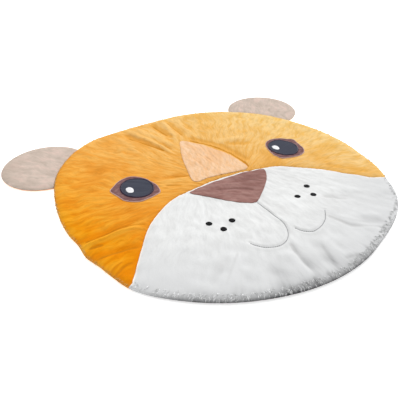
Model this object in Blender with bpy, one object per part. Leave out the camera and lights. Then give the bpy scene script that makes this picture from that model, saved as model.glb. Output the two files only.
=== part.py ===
"""A baby's play mat in the shape of an animal's head, lying face up on the floor.

The head is a thin filled pad of orange plush with a white plush panel over its chin half. Patches make
the bridge, the nose and the eyes, and two thin filled ears are sewn into the rim. Metres, +Z up, with
+Y towards the forehead, +X towards the viewer's right of the face, and the origin on the floor below
the middle of the mat.

Heights come from one function, top_height: a crown that falls off towards the rim, a groove along the
muzzle seam, and the folds and puffs of the tables. Every piece is worked out on rings round a centre.
"""

import math
from typing import NamedTuple

import bmesh
import bpy
import numpy as np

# The pad, from the side seam inwards
HEAD_CENTRE = (-0.003, -0.024)
SEAM_HEIGHT = 0.0095
ROLL_DEPTH = 0.045
ROLL_TOP = 0.0205
CROWN_TOP = 0.0265
CROWN_SPAN = 0.17
UNDER_DEPTH = 0.020
SIDE_START = 0.012

# Cloth
PLUSH = 0.003
PATCH = 0.0018
STITCHED = 0.0012
EAR_PLUSH = 0.002
GAP = 0.0004
SIDE_GAP = 0.0009

# The muzzle's rays start here
MUZZLE_CENTRE = (-0.003, -0.150)
SEAM_GROOVE = 0.0035
SEAM_GROOVE_HALF_WIDTH = 0.013

# Ears
EAR_TOP = 0.0125
EAR_SEAM_HEIGHT = 0.0045
EAR_ROLL_DEPTH = 0.030
EAR_UNDER_DEPTH = 0.010
EAR_PUSH_OUT = 0.020
EAR_GAP = 0.0006
EAR_BLEND = 0.025
EAR_STEEPEST_TURN = math.radians(60.0)

# How finely the rings are cut
CHEEK_STEP = 5.0
FAN_STEP = 2.2
CHIN_STEP = 3.4
FAN_ANGLES = (72.0, 110.0)
SIDE_STEPS = 3
UNDER_STEPS = 3
WRAPPED_UNDER_STEPS = 2
EAR_SIDES = 28
EAR_SIDE_STEPS = 3
EAR_UNDER_STEPS = 2
FARTHEST_REACH = 0.8
HALVINGS = 30

# Rings as shares of the way along a ray, closer together near the seam and the rim
MUZZLE_RINGS = np.array([0.0, 0.22, 0.42, 0.60, 0.76, 0.88, 0.96, 1.0])
FOREHEAD_RINGS = np.array([0.0, 0.04, 0.10, 0.19, 0.30, 0.42, 0.54, 0.66, 0.77, 0.87, 0.95, 1.0])

# Cutters that trim the patches
CUTTER_TOP = 0.06
CUTTER_FINISH = "white_thread"
WELD = 0.00002


class OutlineRow(NamedTuple):
    """Reach of the side seam from HEAD_CENTRE at an angle from +X towards +Y."""

    angle_deg: float
    reach: float


OUTLINE = (
    OutlineRow(0, 0.5070),
    OutlineRow(20, 0.5140),
    OutlineRow(40, 0.5250),
    OutlineRow(60, 0.5220),
    OutlineRow(75, 0.5130),
    OutlineRow(90, 0.4990),
    OutlineRow(105, 0.5090),
    OutlineRow(120, 0.5360),
    OutlineRow(140, 0.5300),
    OutlineRow(160, 0.5030),
    OutlineRow(170, 0.4945),
    OutlineRow(180, 0.4885),
    OutlineRow(186, 0.4840),
    OutlineRow(192, 0.4910),
    OutlineRow(198, 0.4885),
    OutlineRow(205, 0.4950),
    OutlineRow(212, 0.5020),
    OutlineRow(225, 0.4920),
    OutlineRow(240, 0.4830),
    OutlineRow(252, 0.4785),
    OutlineRow(270, 0.4775),
    OutlineRow(282, 0.4775),
    OutlineRow(291, 0.4775),
    OutlineRow(300, 0.4850),
    OutlineRow(310, 0.4985),
    OutlineRow(320, 0.5070),
    OutlineRow(330, 0.5040),
    OutlineRow(338, 0.5050),
    OutlineRow(348, 0.5010),
)

# The muzzle seam in plan, from where it meets the rolled side on the left to there on the right
SEAM_POINTS = (
    (-0.427, -0.271),
    (-0.413, -0.252),
    (-0.362, -0.183),
    (-0.301, -0.110),
    (-0.204, -0.043),
    (-0.109, -0.023),
    (-0.004, -0.017),
    (0.101, -0.029),
    (0.190, -0.058),
    (0.285, -0.138),
    (0.348, -0.203),
    (0.389, -0.243),
    (0.423, -0.268),
)


class FoldRow(NamedTuple):
    """A soft fold between two points in plan: a ridge where rise is positive, a trough where negative."""

    from_x: float
    from_y: float
    to_x: float
    to_y: float
    half_width: float
    rise: float


FOLDS = (
    # Forehead, fanning out from the bridge to the rim
    FoldRow(-0.169, 0.400, -0.159, 0.250, 0.014, 0.0022),
    FoldRow(-0.137, 0.410, -0.081, 0.235, 0.012, -0.0038),
    FoldRow(-0.113, 0.435, -0.064, 0.215, 0.012, 0.0028),
    FoldRow(-0.069, 0.330, -0.051, 0.225, 0.009, -0.0024),
    FoldRow(-0.079, 0.430, -0.039, 0.240, 0.012, 0.0026),
    FoldRow(-0.015, 0.450, -0.009, 0.300, 0.013, -0.0034),
    FoldRow(0.027, 0.435, 0.005, 0.295, 0.012, 0.0028),
    FoldRow(0.047, 0.430, 0.039, 0.300, 0.011, -0.0024),
    FoldRow(0.083, 0.420, 0.057, 0.280, 0.012, 0.0024),
    FoldRow(0.095, 0.420, 0.083, 0.320, 0.012, -0.0024),
    # Beside the bridge, where its right edge draws the plush in
    FoldRow(0.037, 0.262, 0.101, 0.165, 0.012, -0.0036),
    FoldRow(0.103, 0.165, 0.123, 0.030, 0.013, -0.0040),
    FoldRow(0.111, 0.190, 0.206, 0.160, 0.014, 0.0028),
    FoldRow(0.136, 0.160, 0.206, 0.115, 0.013, -0.0024),
    # From the left eye's inner corner towards the bridge
    FoldRow(-0.174, 0.075, -0.104, 0.058, 0.012, -0.0022),
    FoldRow(-0.179, 0.045, -0.109, 0.030, 0.012, 0.0024),
    # Cheeks
    FoldRow(-0.487, -0.096, -0.329, -0.100, 0.011, 0.0040),
    FoldRow(-0.479, -0.072, -0.329, -0.078, 0.014, -0.0024),
    FoldRow(-0.474, -0.146, -0.359, -0.164, 0.014, -0.0028),
    FoldRow(-0.464, -0.236, -0.409, -0.236, 0.014, -0.0026),
    FoldRow(0.411, -0.225, 0.321, -0.130, 0.014, -0.0022),
    # Chin
    FoldRow(-0.259, -0.392, -0.174, -0.330, 0.014, 0.0024),
    FoldRow(-0.271, -0.372, -0.204, -0.320, 0.014, -0.0020),
    FoldRow(-0.044, -0.480, -0.044, -0.375, 0.013, -0.0026),
    FoldRow(-0.071, -0.470, -0.067, -0.380, 0.013, 0.0022),
    FoldRow(0.005, -0.480, 0.011, -0.385, 0.013, -0.0026),
    FoldRow(0.043, -0.470, 0.039, -0.385, 0.013, 0.0022),
    FoldRow(0.181, -0.262, 0.256, -0.300, 0.016, -0.0028),
    FoldRow(0.181, -0.385, 0.253, -0.438, 0.014, -0.0036),
    FoldRow(0.211, -0.370, 0.283, -0.420, 0.014, 0.0026),
    FoldRow(0.291, -0.330, 0.363, -0.352, 0.016, -0.0028),
)


class PuffRow(NamedTuple):
    """A soft round rise of the filling."""

    x: float
    y: float
    radius_x: float
    radius_y: float
    rise: float


PUFFS = (
    PuffRow(-0.064, -0.262, 0.085, 0.090, 0.0030),
    PuffRow(0.076, -0.268, 0.080, 0.090, 0.0030),
    PuffRow(-0.004, -0.090, 0.110, 0.070, 0.0025),
    PuffRow(-0.309, -0.020, 0.120, 0.080, 0.0022),
    PuffRow(0.321, -0.020, 0.120, 0.090, 0.0022),
    PuffRow(-0.009, 0.110, 0.070, 0.110, 0.0020),
    PuffRow(-0.259, 0.270, 0.150, 0.100, 0.0022),
    PuffRow(0.241, 0.280, 0.150, 0.100, 0.0022),
)

# Flat pieces, each outline in plan, going round anticlockwise
BRIDGE_OUTLINE = (
    (-0.001, 0.250),
    (-0.027, 0.205),
    (-0.049, 0.160),
    (-0.073, 0.092),
    (-0.095, 0.006),
    (-0.049, -0.001),
    (0.021, -0.008),
    (0.089, -0.015),
    (0.094, 0.030),
    (0.081, 0.108),
    (0.055, 0.172),
    (0.027, 0.224),
)
NOSE_OUTLINE = (
    (-0.136, -0.038),
    (-0.109, -0.082),
    (-0.076, -0.124),
    (-0.042, -0.163),
    (-0.005, -0.180),
    (0.031, -0.158),
    (0.073, -0.124),
    (0.104, -0.093),
    (0.125, -0.060),
    (0.117, -0.043),
    (0.052, -0.033),
    (-0.004, -0.031),
    (-0.069, -0.031),
)


class EyeRow(NamedTuple):
    """An eye: its pupil's centre, which way its outer tip points, its tilt, and its highlight's offset."""

    side: str
    x: float
    y: float
    outward: float
    tilt_deg: float
    highlight_x: float
    highlight_y: float


EYES = (
    EyeRow("left", -0.257, 0.060, -1.0, 0.0, -0.024, -0.003),
    EyeRow("right", 0.270, 0.025, 1.0, -2.0, -0.023, 0.011),
)

# The piece under an eye, from the pupil's centre, with +X towards the outer tip
EYE_BASE_OUTLINE = (
    (0.071, 0.030),
    (0.046, 0.052),
    (0.024, 0.067),
    (0.000, 0.070),
    (-0.024, 0.061),
    (-0.042, 0.038),
    (-0.051, 0.010),
    (-0.057, -0.018),
    (-0.050, -0.050),
    (-0.030, -0.061),
    (-0.004, -0.067),
    (0.020, -0.068),
    (0.042, -0.058),
    (0.057, -0.036),
    (0.064, -0.004),
)
PUPIL_RADII = (0.047, 0.054)
HIGHLIGHT_RADII = (0.0105, 0.0155)

DOT_RADIUS = 0.0088
WHISKER_DOTS = {
    "left": ((-0.169, -0.192), (-0.150, -0.232), (-0.111, -0.214)),
    "right": ((0.174, -0.193), (0.158, -0.237), (0.113, -0.220)),
}


class EarRow(NamedTuple):
    """An ear: a disc that the head's outline cuts into."""

    side: str
    x: float
    y: float
    radius: float


EARS = (
    EarRow("left", -0.439, 0.365, 0.139),
    EarRow("right", 0.442, 0.354, 0.137),
)


class FinishRow(NamedTuple):
    """A material's colour, linear, and its roughness."""

    red: float
    green: float
    blue: float
    roughness: float


FINISHES = {
    "orange_plush": FinishRow(0.89, 0.36, 0.03, 0.95),
    "white_plush": FinishRow(0.82, 0.83, 0.84, 0.95),
    "peach_plush": FinishRow(0.93, 0.61, 0.35, 0.92),
    "brown_plush": FinishRow(0.33, 0.18, 0.16, 0.88),
    "mauve_cloth": FinishRow(0.20, 0.10, 0.11, 0.80),
    "slate_cloth": FinishRow(0.06, 0.065, 0.09, 0.70),
    "white_thread": FinishRow(0.90, 0.91, 0.93, 0.55),
    "black_thread": FinishRow(0.012, 0.012, 0.014, 0.60),
    "ear_plush": FinishRow(0.65, 0.56, 0.50, 0.95),
}


def clear_scene():
    """Remove every object of the scene."""
    for obj in list(bpy.data.objects):
        bpy.data.objects.remove(obj, do_unlink=True)


def material(name):
    """The named finish as a Principled material, made once."""
    found = bpy.data.materials.get(name)
    if found:
        return found
    row = FINISHES[name]
    made = bpy.data.materials.new(name)
    made.use_nodes = True
    shader = made.node_tree.nodes["Principled BSDF"]
    shader.inputs["Base Color"].default_value = (row.red, row.green, row.blue, 1.0)
    shader.inputs["Roughness"].default_value = row.roughness
    shader.inputs["Metallic"].default_value = 0.0
    made.diffuse_color = (row.red, row.green, row.blue, 1.0)
    return made


def smooth_step(value):
    """0 below 0, 1 above 1, and a smooth S between them."""
    held = np.clip(value, 0.0, 1.0)
    return held * held * (3.0 - 2.0 * held)


def smooth_curve(points, steps, closed):
    """Points on a Catmull-Rom curve through the given ones, `steps` for each stretch between two."""
    given = np.asarray(points, float)
    if closed:
        padded = np.vstack([given[-1], given, given[0], given[1]])
    else:
        padded = np.vstack([2 * given[0] - given[1], given, 2 * given[-1] - given[-2]])
    stretches = len(padded) - 3
    t = np.arange(steps)[:, None] / steps
    parts = []
    for i in range(stretches):
        before, start, end, after = padded[i : i + 4]
        straight = 2 * start + (end - before) * t
        bend = (2 * before - 5 * start + 4 * end - after) * t**2
        twist = (3 * start - before - 3 * end + after) * t**3
        parts.append((straight + bend + twist) / 2)
    if not closed:
        parts.append(given[-1:])
    return np.vstack(parts)


def outline_reach(angle):
    """Reach of the side seam from HEAD_CENTRE at an angle in radians, smooth all the way round."""
    rows = [(row.angle_deg, row.reach) for row in OUTLINE]
    wrapped = [(a - 360.0, r) for a, r in rows[-2:]] + rows + [(a + 360.0, r) for a, r in rows[:3]]
    curve = smooth_curve(wrapped, 12, closed=False)
    return np.interp(np.degrees(angle) % 360.0, curve[:, 0], curve[:, 1])


def inset_from_outline(x, y):
    """How far a point lies inside the side seam, measured towards HEAD_CENTRE."""
    along_x = x - HEAD_CENTRE[0]
    along_y = y - HEAD_CENTRE[1]
    return outline_reach(np.arctan2(along_y, along_x)) - np.hypot(along_x, along_y)


def ray_reach(angle, inset):
    """Distance from MUZZLE_CENTRE, along a ray, to where the outline is `inset` away. Halves an interval."""
    angle, inset = np.broadcast_arrays(np.asarray(angle, float), np.asarray(inset, float))
    near = np.zeros(angle.shape)
    far = np.full(angle.shape, FARTHEST_REACH)
    for _ in range(HALVINGS):
        middle = (near + far) / 2
        x = MUZZLE_CENTRE[0] + middle * np.cos(angle)
        y = MUZZLE_CENTRE[1] + middle * np.sin(angle)
        inside = inset_from_outline(x, y) > inset
        near = np.where(inside, middle, near)
        far = np.where(inside, far, middle)
    return (near + far) / 2


def seam_line():
    """The muzzle seam as a dense line in plan, left to right."""
    return smooth_curve(SEAM_POINTS, 10, closed=False)


def seam_polar():
    """Angle and reach of the seam from MUZZLE_CENTRE, with the angle rising from straight down."""
    offset = seam_line() - np.array(MUZZLE_CENTRE)
    angle = (np.arctan2(offset[:, 1], offset[:, 0]) + math.pi / 2) % (2 * math.pi) - math.pi / 2
    order = np.argsort(angle)
    return angle[order], np.hypot(offset[:, 0], offset[:, 1])[order]


def distance_to_line(x, y, line):
    """Distance in plan from each point to the nearest place on a line of short stretches."""
    nearest = np.full(np.shape(x), np.inf)
    for start, end in zip(line[:-1], line[1:]):
        run = end - start
        along = np.clip(((x - start[0]) * run[0] + (y - start[1]) * run[1]) / (run @ run), 0.0, 1.0)
        gap = np.hypot(x - start[0] - along * run[0], y - start[1] - along * run[1])
        nearest = np.minimum(nearest, gap)
    return nearest


def fold_rise(x, y):
    """Sum of the folds: each is a bell across its line, and fades out over the line's two ends."""
    total = np.zeros(np.shape(x))
    for row in FOLDS:
        run_x = row.to_x - row.from_x
        run_y = row.to_y - row.from_y
        length = math.hypot(run_x, run_y)
        along = ((x - row.from_x) * run_x + (y - row.from_y) * run_y) / length
        across = ((y - row.from_y) * run_x - (x - row.from_x) * run_y) / length
        fade = row.half_width * 1.5
        ends = smooth_step(along / fade + 0.5) * smooth_step((length - along) / fade + 0.5)
        total += row.rise * np.exp(-((across / row.half_width) ** 2)) * ends
    return total


def puff_rise(x, y):
    """Sum of the puffs, each a bell in both directions."""
    total = np.zeros(np.shape(x))
    for row in PUFFS:
        reach = ((x - row.x) / row.radius_x) ** 2 + ((y - row.y) / row.radius_y) ** 2
        total += row.rise * np.exp(-reach)
    return total


def rounded(inset, depth):
    """Share of the full height over a rolled edge: a quarter ellipse, 0 at the side and 1 from depth inwards."""
    away = 1.0 - np.clip(inset / depth, 0.0, 1.0)
    return np.sqrt(1.0 - away * away)


def top_height(x, y):
    """Height of the mat's top: crown, seam groove, folds and puffs, all rolled down to the side seam."""
    inset = inset_from_outline(x, y)
    crown = ROLL_TOP + (CROWN_TOP - ROLL_TOP) * smooth_step((inset - ROLL_DEPTH) / CROWN_SPAN)
    groove = np.exp(-((distance_to_line(x, y, seam_line()) / SEAM_GROOVE_HALF_WIDTH) ** 2))
    relief = fold_rise(x, y) + puff_rise(x, y) - SEAM_GROOVE * groove
    crown += relief * smooth_step(inset / ROLL_DEPTH)
    return SEAM_HEIGHT + (crown - SEAM_HEIGHT) * rounded(inset, ROLL_DEPTH)


class Side(NamedTuple):
    """A rolled side's rows, from its start on the top, out to the side seam and under to the floor.

    share is a row's part of the start's height above the side seam, and drop its part of the way from
    that seam to the floor. turn is the angle of its outward normal from straight up, for each row and
    column, taken as 0 on the first row.
    """

    inset: np.ndarray
    share: np.ndarray
    drop: np.ndarray
    turn: np.ndarray


def rolled_side(start_inset, roll_depth, rise, under_depth, seam_height, over_steps, under_steps):
    """Work out the rows of a side: a quarter ellipse above the side seam and another below it."""
    first = math.asin(1.0 - start_inset / roll_depth)
    over = np.linspace(first, math.pi / 2, over_steps + 1)[:, None]
    under = np.linspace(0.0, math.pi / 2, under_steps + 1)[1:, None]
    inset = np.concatenate([roll_depth * (1 - np.sin(over)), under_depth * (1 - np.cos(under))])
    share = np.concatenate([np.cos(over) / math.cos(first), 0.0 * under])
    drop = np.concatenate([0.0 * over, np.sin(under)])
    over_turn = np.arctan2(np.sin(over) * rise, np.cos(over) * roll_depth)
    over_turn[0] = 0.0
    under_turn = math.pi - np.arctan2(np.cos(under) * seam_height, np.sin(under) * under_depth)
    return Side(inset, share, drop, np.concatenate([over_turn, under_turn]))


def side_heights(side, start_height, seam_height):
    """Height of each row of a side under each column of points."""
    return seam_height + side.share * (start_height - seam_height) - side.drop * seam_height


class Surface:
    """Points and faces gathered grid by grid, then welded into one closed mesh."""

    def __init__(self):
        self.points = []
        self.faces = []
        self.count = 0

    def add_grid(self, grid, closed):
        """Add a grid of points (rows, columns, 3), two triangles a cell. A closed one joins its ends."""
        rows, columns = grid.shape[:2]
        index = self.count + np.arange(rows * columns).reshape(rows, columns)
        following = np.roll(index, -1, axis=1) if closed else index[:, 1:]
        here = index if closed else index[:, :-1]
        first = np.stack([here[:-1], following[:-1], following[1:]], axis=-1)
        second = np.stack([here[:-1], following[1:], here[1:]], axis=-1)
        self.points.append(grid.reshape(-1, 3))
        self.faces += np.concatenate([first, second]).reshape(-1, 3).tolist()
        self.count += rows * columns

    def add_sheet(self, over, under, closed):
        """Add two like grids and the strips that join their edges."""
        self.add_grid(over, closed)
        self.add_grid(under, closed)
        self.add_grid(np.stack([over[-1], under[-1]]), closed)
        if not closed:
            self.add_grid(np.stack([over[0], under[0]]), closed)
            self.add_grid(np.stack([over[:, 0], under[:, 0]]), closed)
            self.add_grid(np.stack([over[:, -1], under[:, -1]]), closed)

    def add_ring_cap(self, ring):
        """Close a ring of points with one flat face."""
        self.points.append(ring)
        self.faces.append(list(range(self.count, self.count + len(ring))))
        self.count += len(ring)

    def build(self, name, finish):
        """Weld what meets, turn the faces outwards and make the object."""
        mesh = bpy.data.meshes.new(name)
        mesh.from_pydata(np.vstack(self.points).tolist(), [], self.faces)
        work = bmesh.new()
        work.from_mesh(mesh)
        bmesh.ops.remove_doubles(work, verts=work.verts, dist=WELD)
        bmesh.ops.dissolve_degenerate(work, edges=work.edges, dist=WELD)
        bmesh.ops.triangulate(work, faces=work.faces)
        bmesh.ops.recalc_face_normals(work, faces=work.faces)
        work.to_mesh(mesh)
        work.free()
        mesh.materials.append(material(finish))
        mesh.shade_smooth()
        mesh.set_sharp_from_angle(angle=math.radians(50.0))
        obj = bpy.data.objects.new(name, mesh)
        bpy.context.scene.collection.objects.link(obj)
        return obj


def stack(x, y, z):
    """Three equal arrays as one array of points."""
    return np.stack(np.broadcast_arrays(x, y, z), axis=-1)


def ray_angles():
    """Angles of the rays from MUZZLE_CENTRE: above the seam from its right end to its left, then the chin's."""
    angle, _ = seam_polar()
    right, left = np.degrees(angle[0]), np.degrees(angle[-1])
    fan_right, fan_left = FAN_ANGLES
    above = np.concatenate(
        [
            even_steps(right, fan_right, CHEEK_STEP)[:-1],
            even_steps(fan_right, fan_left, FAN_STEP)[:-1],
            even_steps(fan_left, left, CHEEK_STEP),
        ]
    )
    chin = even_steps(left, right + 360.0, CHIN_STEP)[1:-1]
    return np.radians(above), np.radians(chin)


def even_steps(start, end, step):
    """Evenly spaced values from start to end, about `step` apart."""
    count = max(1, round((end - start) / step))
    return np.linspace(start, end, count + 1)


def muzzle_edge(above, chin, pull_in):
    """Reach of the muzzle's top from MUZZLE_CENTRE: the seam above, less pull_in, and the roll's start below."""
    angle, reach = seam_polar()
    top = np.interp(above, angle, reach) - pull_in
    top[[0, -1]] = ray_reach(above[[0, -1]], SIDE_START)
    return np.concatenate([top, ray_reach(chin, SIDE_START)])


def on_rays(angle, reach):
    """Plan positions at a reach from MUZZLE_CENTRE along each ray."""
    x = MUZZLE_CENTRE[0] + reach * np.cos(angle)
    y = MUZZLE_CENTRE[1] + reach * np.sin(angle)
    return x, y


def muzzle_top(angles, edge, lowered):
    """The muzzle's top on rings from MUZZLE_CENTRE out to its edge, lowered by a cloth's thickness."""
    x, y = on_rays(angles[None, :], MUZZLE_RINGS[:, None] * edge[None, :])
    return stack(x, y, top_height(x, y) - lowered)


def forehead_top():
    """The orange top on rings from the muzzle seam out to the roll's start."""
    above, chin = ray_angles()
    inner = muzzle_edge(above, chin, 0.0)[: len(above)]
    outer = ray_reach(above, SIDE_START)
    x, y = on_rays(above[None, :], inner + FOREHEAD_RINGS[:, None] * (outer - inner))
    return stack(x, y, top_height(x, y))


def head_side(angles, sunk, rows):
    """The head's side under each ray, down to the floor, sunk along its normal by a cloth's thickness."""
    rise = ROLL_TOP - SEAM_HEIGHT
    side = rolled_side(SIDE_START, ROLL_DEPTH, rise, UNDER_DEPTH, SEAM_HEIGHT, SIDE_STEPS, UNDER_STEPS)
    start_x, start_y = on_rays(angles, ray_reach(angles, SIDE_START))
    height = side_heights(side, top_height(start_x, start_y), SEAM_HEIGHT)
    depth = np.full((len(side.inset), 1), sunk)
    depth[-1] = 0.0
    inset = side.inset + depth * np.sin(side.turn)
    x, y = on_rays(angles, ray_reach(angles, inset))
    z = height - depth * np.cos(side.turn)
    return stack(x, y, z)[:rows]


def make_body():
    """The filled pad: forehead, the ground under the muzzle panel, the rolled side and the flat underside."""
    above, chin = ray_angles()
    angles = np.concatenate([above, chin])
    edge = muzzle_edge(above, chin, 0.0)
    sunk = PLUSH + GAP
    rows = SIDE_STEPS + UNDER_STEPS + 1
    pad = Surface()
    forehead = forehead_top()
    pad.add_grid(forehead, closed=False)
    ground = muzzle_top(angles, edge, sunk)
    pad.add_grid(ground, closed=True)
    pad.add_grid(np.stack([forehead[0], ground[-1, : len(above)]]), closed=False)
    full = head_side(above, 0.0, rows)
    pad.add_grid(full, closed=False)
    below = np.concatenate([above[-1:], chin, above[:1] + 2 * math.pi])
    inset = head_side(below, sunk, rows)
    pad.add_grid(inset, closed=False)
    pad.add_grid(np.stack([full[:, -1], inset[:, 0]]), closed=False)
    pad.add_grid(np.stack([inset[:, -1], full[:, 0]]), closed=False)
    pad.add_ring_cap(np.concatenate([full[-1], inset[-1, 1:-1]]))
    return pad.build("body", "orange_plush")


def panel_rays():
    """The muzzle panel's rays above and below its tips, and its reach along them, clear of the forehead."""
    above, chin = ray_angles()
    clear = SIDE_GAP / ray_reach(above[[0, -1]], SIDE_START)
    above[0] -= clear[0]
    above[-1] += clear[1]
    return above, chin, muzzle_edge(above, chin, SIDE_GAP)


def panel_top():
    """The white panel's upper face."""
    above, chin, edge = panel_rays()
    return muzzle_top(np.concatenate([above, chin]), edge, 0.0)


def make_muzzle_panel():
    """The white sheet over the chin half: its two faces, joined along the seam and under the rim."""
    above, chin, edge = panel_rays()
    angles = np.concatenate([above, chin])
    rows = SIDE_STEPS + WRAPPED_UNDER_STEPS + 1
    below = np.concatenate([above[-1:], chin, above[:1] + 2 * math.pi])
    outer_top = panel_top()
    inner_top = muzzle_top(angles, edge, PLUSH)
    outer_side = head_side(below, 0.0, rows)
    inner_side = head_side(below, PLUSH, rows)
    panel = Surface()
    panel.add_grid(outer_top, closed=True)
    panel.add_grid(inner_top, closed=True)
    panel.add_grid(outer_side, closed=False)
    panel.add_grid(inner_side, closed=False)
    panel.add_grid(np.stack([outer_top[-1, : len(above)], inner_top[-1, : len(above)]]), closed=False)
    panel.add_grid(np.stack([outer_side[-1], inner_side[-1]]), closed=False)
    panel.add_grid(np.stack([outer_side[:, 0], inner_side[:, 0]]), closed=False)
    panel.add_grid(np.stack([outer_side[:, -1], inner_side[:, -1]]), closed=False)
    return panel.build("muzzle_panel", "white_plush")


def make_cutter(name, outline):
    """A prism on an outline in plan, tall enough to cut through the mat's pieces. It isn't rendered."""
    outline = np.asarray(outline, float)
    walls = stack(outline[None, :, 0], outline[None, :, 1], np.array([[0.0], [CUTTER_TOP]]))
    prism = Surface()
    prism.add_grid(walls, closed=True)
    prism.add_ring_cap(walls[0])
    prism.add_ring_cap(walls[1])
    cutter = prism.build(f"{name}_outline", CUTTER_FINISH)
    cutter.hide_render = True
    cutter.display_type = "WIRE"
    return cutter


def make_patch(name, ground, outline, lift, thickness, finish):
    """A flat piece: a sheet that follows the ground, `lift` above it, cut to its outline."""
    top, closed = ground
    sheet = Surface()
    over = top + (0.0, 0.0, lift + thickness)
    under = top + (0.0, 0.0, lift)
    sheet.add_sheet(over, under, closed)
    piece = sheet.build(name, finish)
    cut = piece.modifiers.new("outline", "BOOLEAN")
    cut.operation = "INTERSECT"
    cut.solver = "EXACT"
    cut.object = make_cutter(name, outline)
    return piece


def ellipse(middle, radii, sides):
    """Points of an ellipse in plan."""
    turn = np.arange(sides) * (2 * math.pi / sides)
    return np.stack([middle[0] + radii[0] * np.cos(turn), middle[1] + radii[1] * np.sin(turn)], axis=-1)


def turned(points, degrees):
    """Points turned about the origin in plan."""
    angle = math.radians(degrees)
    turn = np.array([[math.cos(angle), -math.sin(angle)], [math.sin(angle), math.cos(angle)]])
    return np.asarray(points, float) @ turn.T


def make_eye(row, ground):
    """An eye in three layers: base, pupil and highlight, each resting on the one below."""
    middle = (row.x, row.y)
    base = turned(np.array(EYE_BASE_OUTLINE) * (row.outward, 1.0), row.tilt_deg)
    base = smooth_curve(base, 2, closed=True) + middle
    make_patch(f"eye_base_{row.side}", ground, base, GAP, PATCH, "mauve_cloth")
    pupil = ellipse(middle, PUPIL_RADII, 20)
    on_base = GAP + PATCH + GAP
    make_patch(f"pupil_{row.side}", ground, pupil, on_base, STITCHED, "slate_cloth")
    spot = (row.x + row.highlight_x, row.y + row.highlight_y)
    on_pupil = on_base + STITCHED + GAP
    glint = ellipse(spot, HIGHLIGHT_RADII, 12)
    make_patch(f"highlight_{row.side}", ground, glint, on_pupil, STITCHED, "white_thread")


def make_whisker_dots(ground):
    """Six stitched dots on the muzzle panel."""
    for side, places in WHISKER_DOTS.items():
        for number, place in enumerate(places, start=1):
            outline = ellipse(place, (DOT_RADIUS, DOT_RADIUS), 10)
            name = f"whisker_dot_{side}_{number}"
            make_patch(name, ground, outline, GAP, STITCHED, "black_thread")


class EarShape(NamedTuple):
    """An ear's plan about a middle point, and the height of its side seam on each ray."""

    middle: np.ndarray
    direction: np.ndarray
    reach: np.ndarray
    seam_height: np.ndarray


def ear_shape(row):
    """Work out an ear: a disc cut by the head's outline, its seam rising to the head's where it is sewn in."""
    head = np.array(HEAD_CENTRE)
    disc = np.array([row.x, row.y])
    away = (disc - head) / np.linalg.norm(disc - head)
    middle = disc + EAR_PUSH_OUT * away
    angles = math.atan2(away[1], away[0]) + np.linspace(-math.pi, math.pi, EAR_SIDES, endpoint=False)
    direction = np.stack([np.cos(angles), np.sin(angles)], axis=-1)
    in_disc = ear_reach(row, middle, direction, False)
    reach = ear_reach(row, middle, direction, True)
    sewn_in = smooth_step((in_disc - reach) / EAR_BLEND)
    seam_height = EAR_SEAM_HEIGHT + (SEAM_HEIGHT - EAR_SEAM_HEIGHT) * sewn_in
    return EarShape(middle, direction, reach, seam_height)


def ear_reach(row, middle, direction, cut_by_head):
    """Reach of each ray inside the ear's disc and, if asked, clear of the head. Halves an interval."""
    near = np.zeros(len(direction))
    far = np.full(len(direction), 2 * row.radius)
    for _ in range(HALVINGS):
        reach = (near + far) / 2
        place = middle + reach[:, None] * direction
        kept = np.hypot(place[:, 0] - row.x, place[:, 1] - row.y) < row.radius
        if cut_by_head:
            kept &= inset_from_outline(place[:, 0], place[:, 1]) < -SIDE_GAP
        near = np.where(kept, reach, near)
        far = np.where(kept, far, reach)
    return near


def ear_rings(ear, sunk, rows):
    """An ear's top and side: a ring at its middle, then the rolled side from there to the floor."""
    rise = EAR_TOP - ear.seam_height
    side = rolled_side(
        EAR_ROLL_DEPTH, EAR_ROLL_DEPTH, rise, EAR_UNDER_DEPTH, ear.seam_height, EAR_SIDE_STEPS, EAR_UNDER_STEPS
    )
    turn = np.minimum(side.turn, EAR_STEEPEST_TURN)
    depth = np.full((len(side.inset), 1), sunk)
    depth[EAR_SIDE_STEPS + 1 :] = 0.0
    from_middle = ear.reach - side.inset - depth * np.sin(turn)
    height = side_heights(side, EAR_TOP, ear.seam_height) - depth * np.cos(turn)
    rings = np.concatenate([np.zeros((1, len(ear.reach))), from_middle])[:rows]
    height = np.concatenate([height[:1], height])[:rows]
    plan = ear.middle + rings[..., None] * ear.direction
    return stack(plan[..., 0], plan[..., 1], height)


def make_ear(row):
    """An ear: the filled pad with its orange back, and the plush face over it down to the side seam."""
    ear = ear_shape(row)
    seam_rows = EAR_SIDE_STEPS + 2
    all_rows = seam_rows + EAR_UNDER_STEPS
    sunk = ear_rings(ear, EAR_PLUSH + EAR_GAP, all_rows)
    pad = Surface()
    pad.add_grid(sunk, closed=True)
    pad.add_ring_cap(sunk[-1])
    pad.build(f"ear_{row.side}", "orange_plush")
    outer = ear_rings(ear, 0.0, seam_rows)
    inner = ear_rings(ear, EAR_PLUSH, seam_rows)
    face = Surface()
    face.add_grid(outer, closed=True)
    face.add_grid(inner, closed=True)
    face.add_grid(np.stack([outer[-1], inner[-1]]), closed=True)
    face.build(f"ear_face_{row.side}", "ear_plush")


def main():
    """Build every piece."""
    clear_scene()
    make_body()
    make_muzzle_panel()
    forehead = (forehead_top(), False)
    muzzle = (panel_top(), True)
    bridge = smooth_curve(BRIDGE_OUTLINE, 3, closed=True)
    make_patch("bridge_patch", forehead, bridge, GAP, PATCH, "peach_plush")
    nose = smooth_curve(NOSE_OUTLINE, 2, closed=True)
    make_patch("nose_patch", muzzle, nose, GAP, PATCH, "brown_plush")
    for row in EYES:
        make_eye(row, forehead)
    make_whisker_dots(muzzle)
    for row in EARS:
        make_ear(row)


main()
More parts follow.
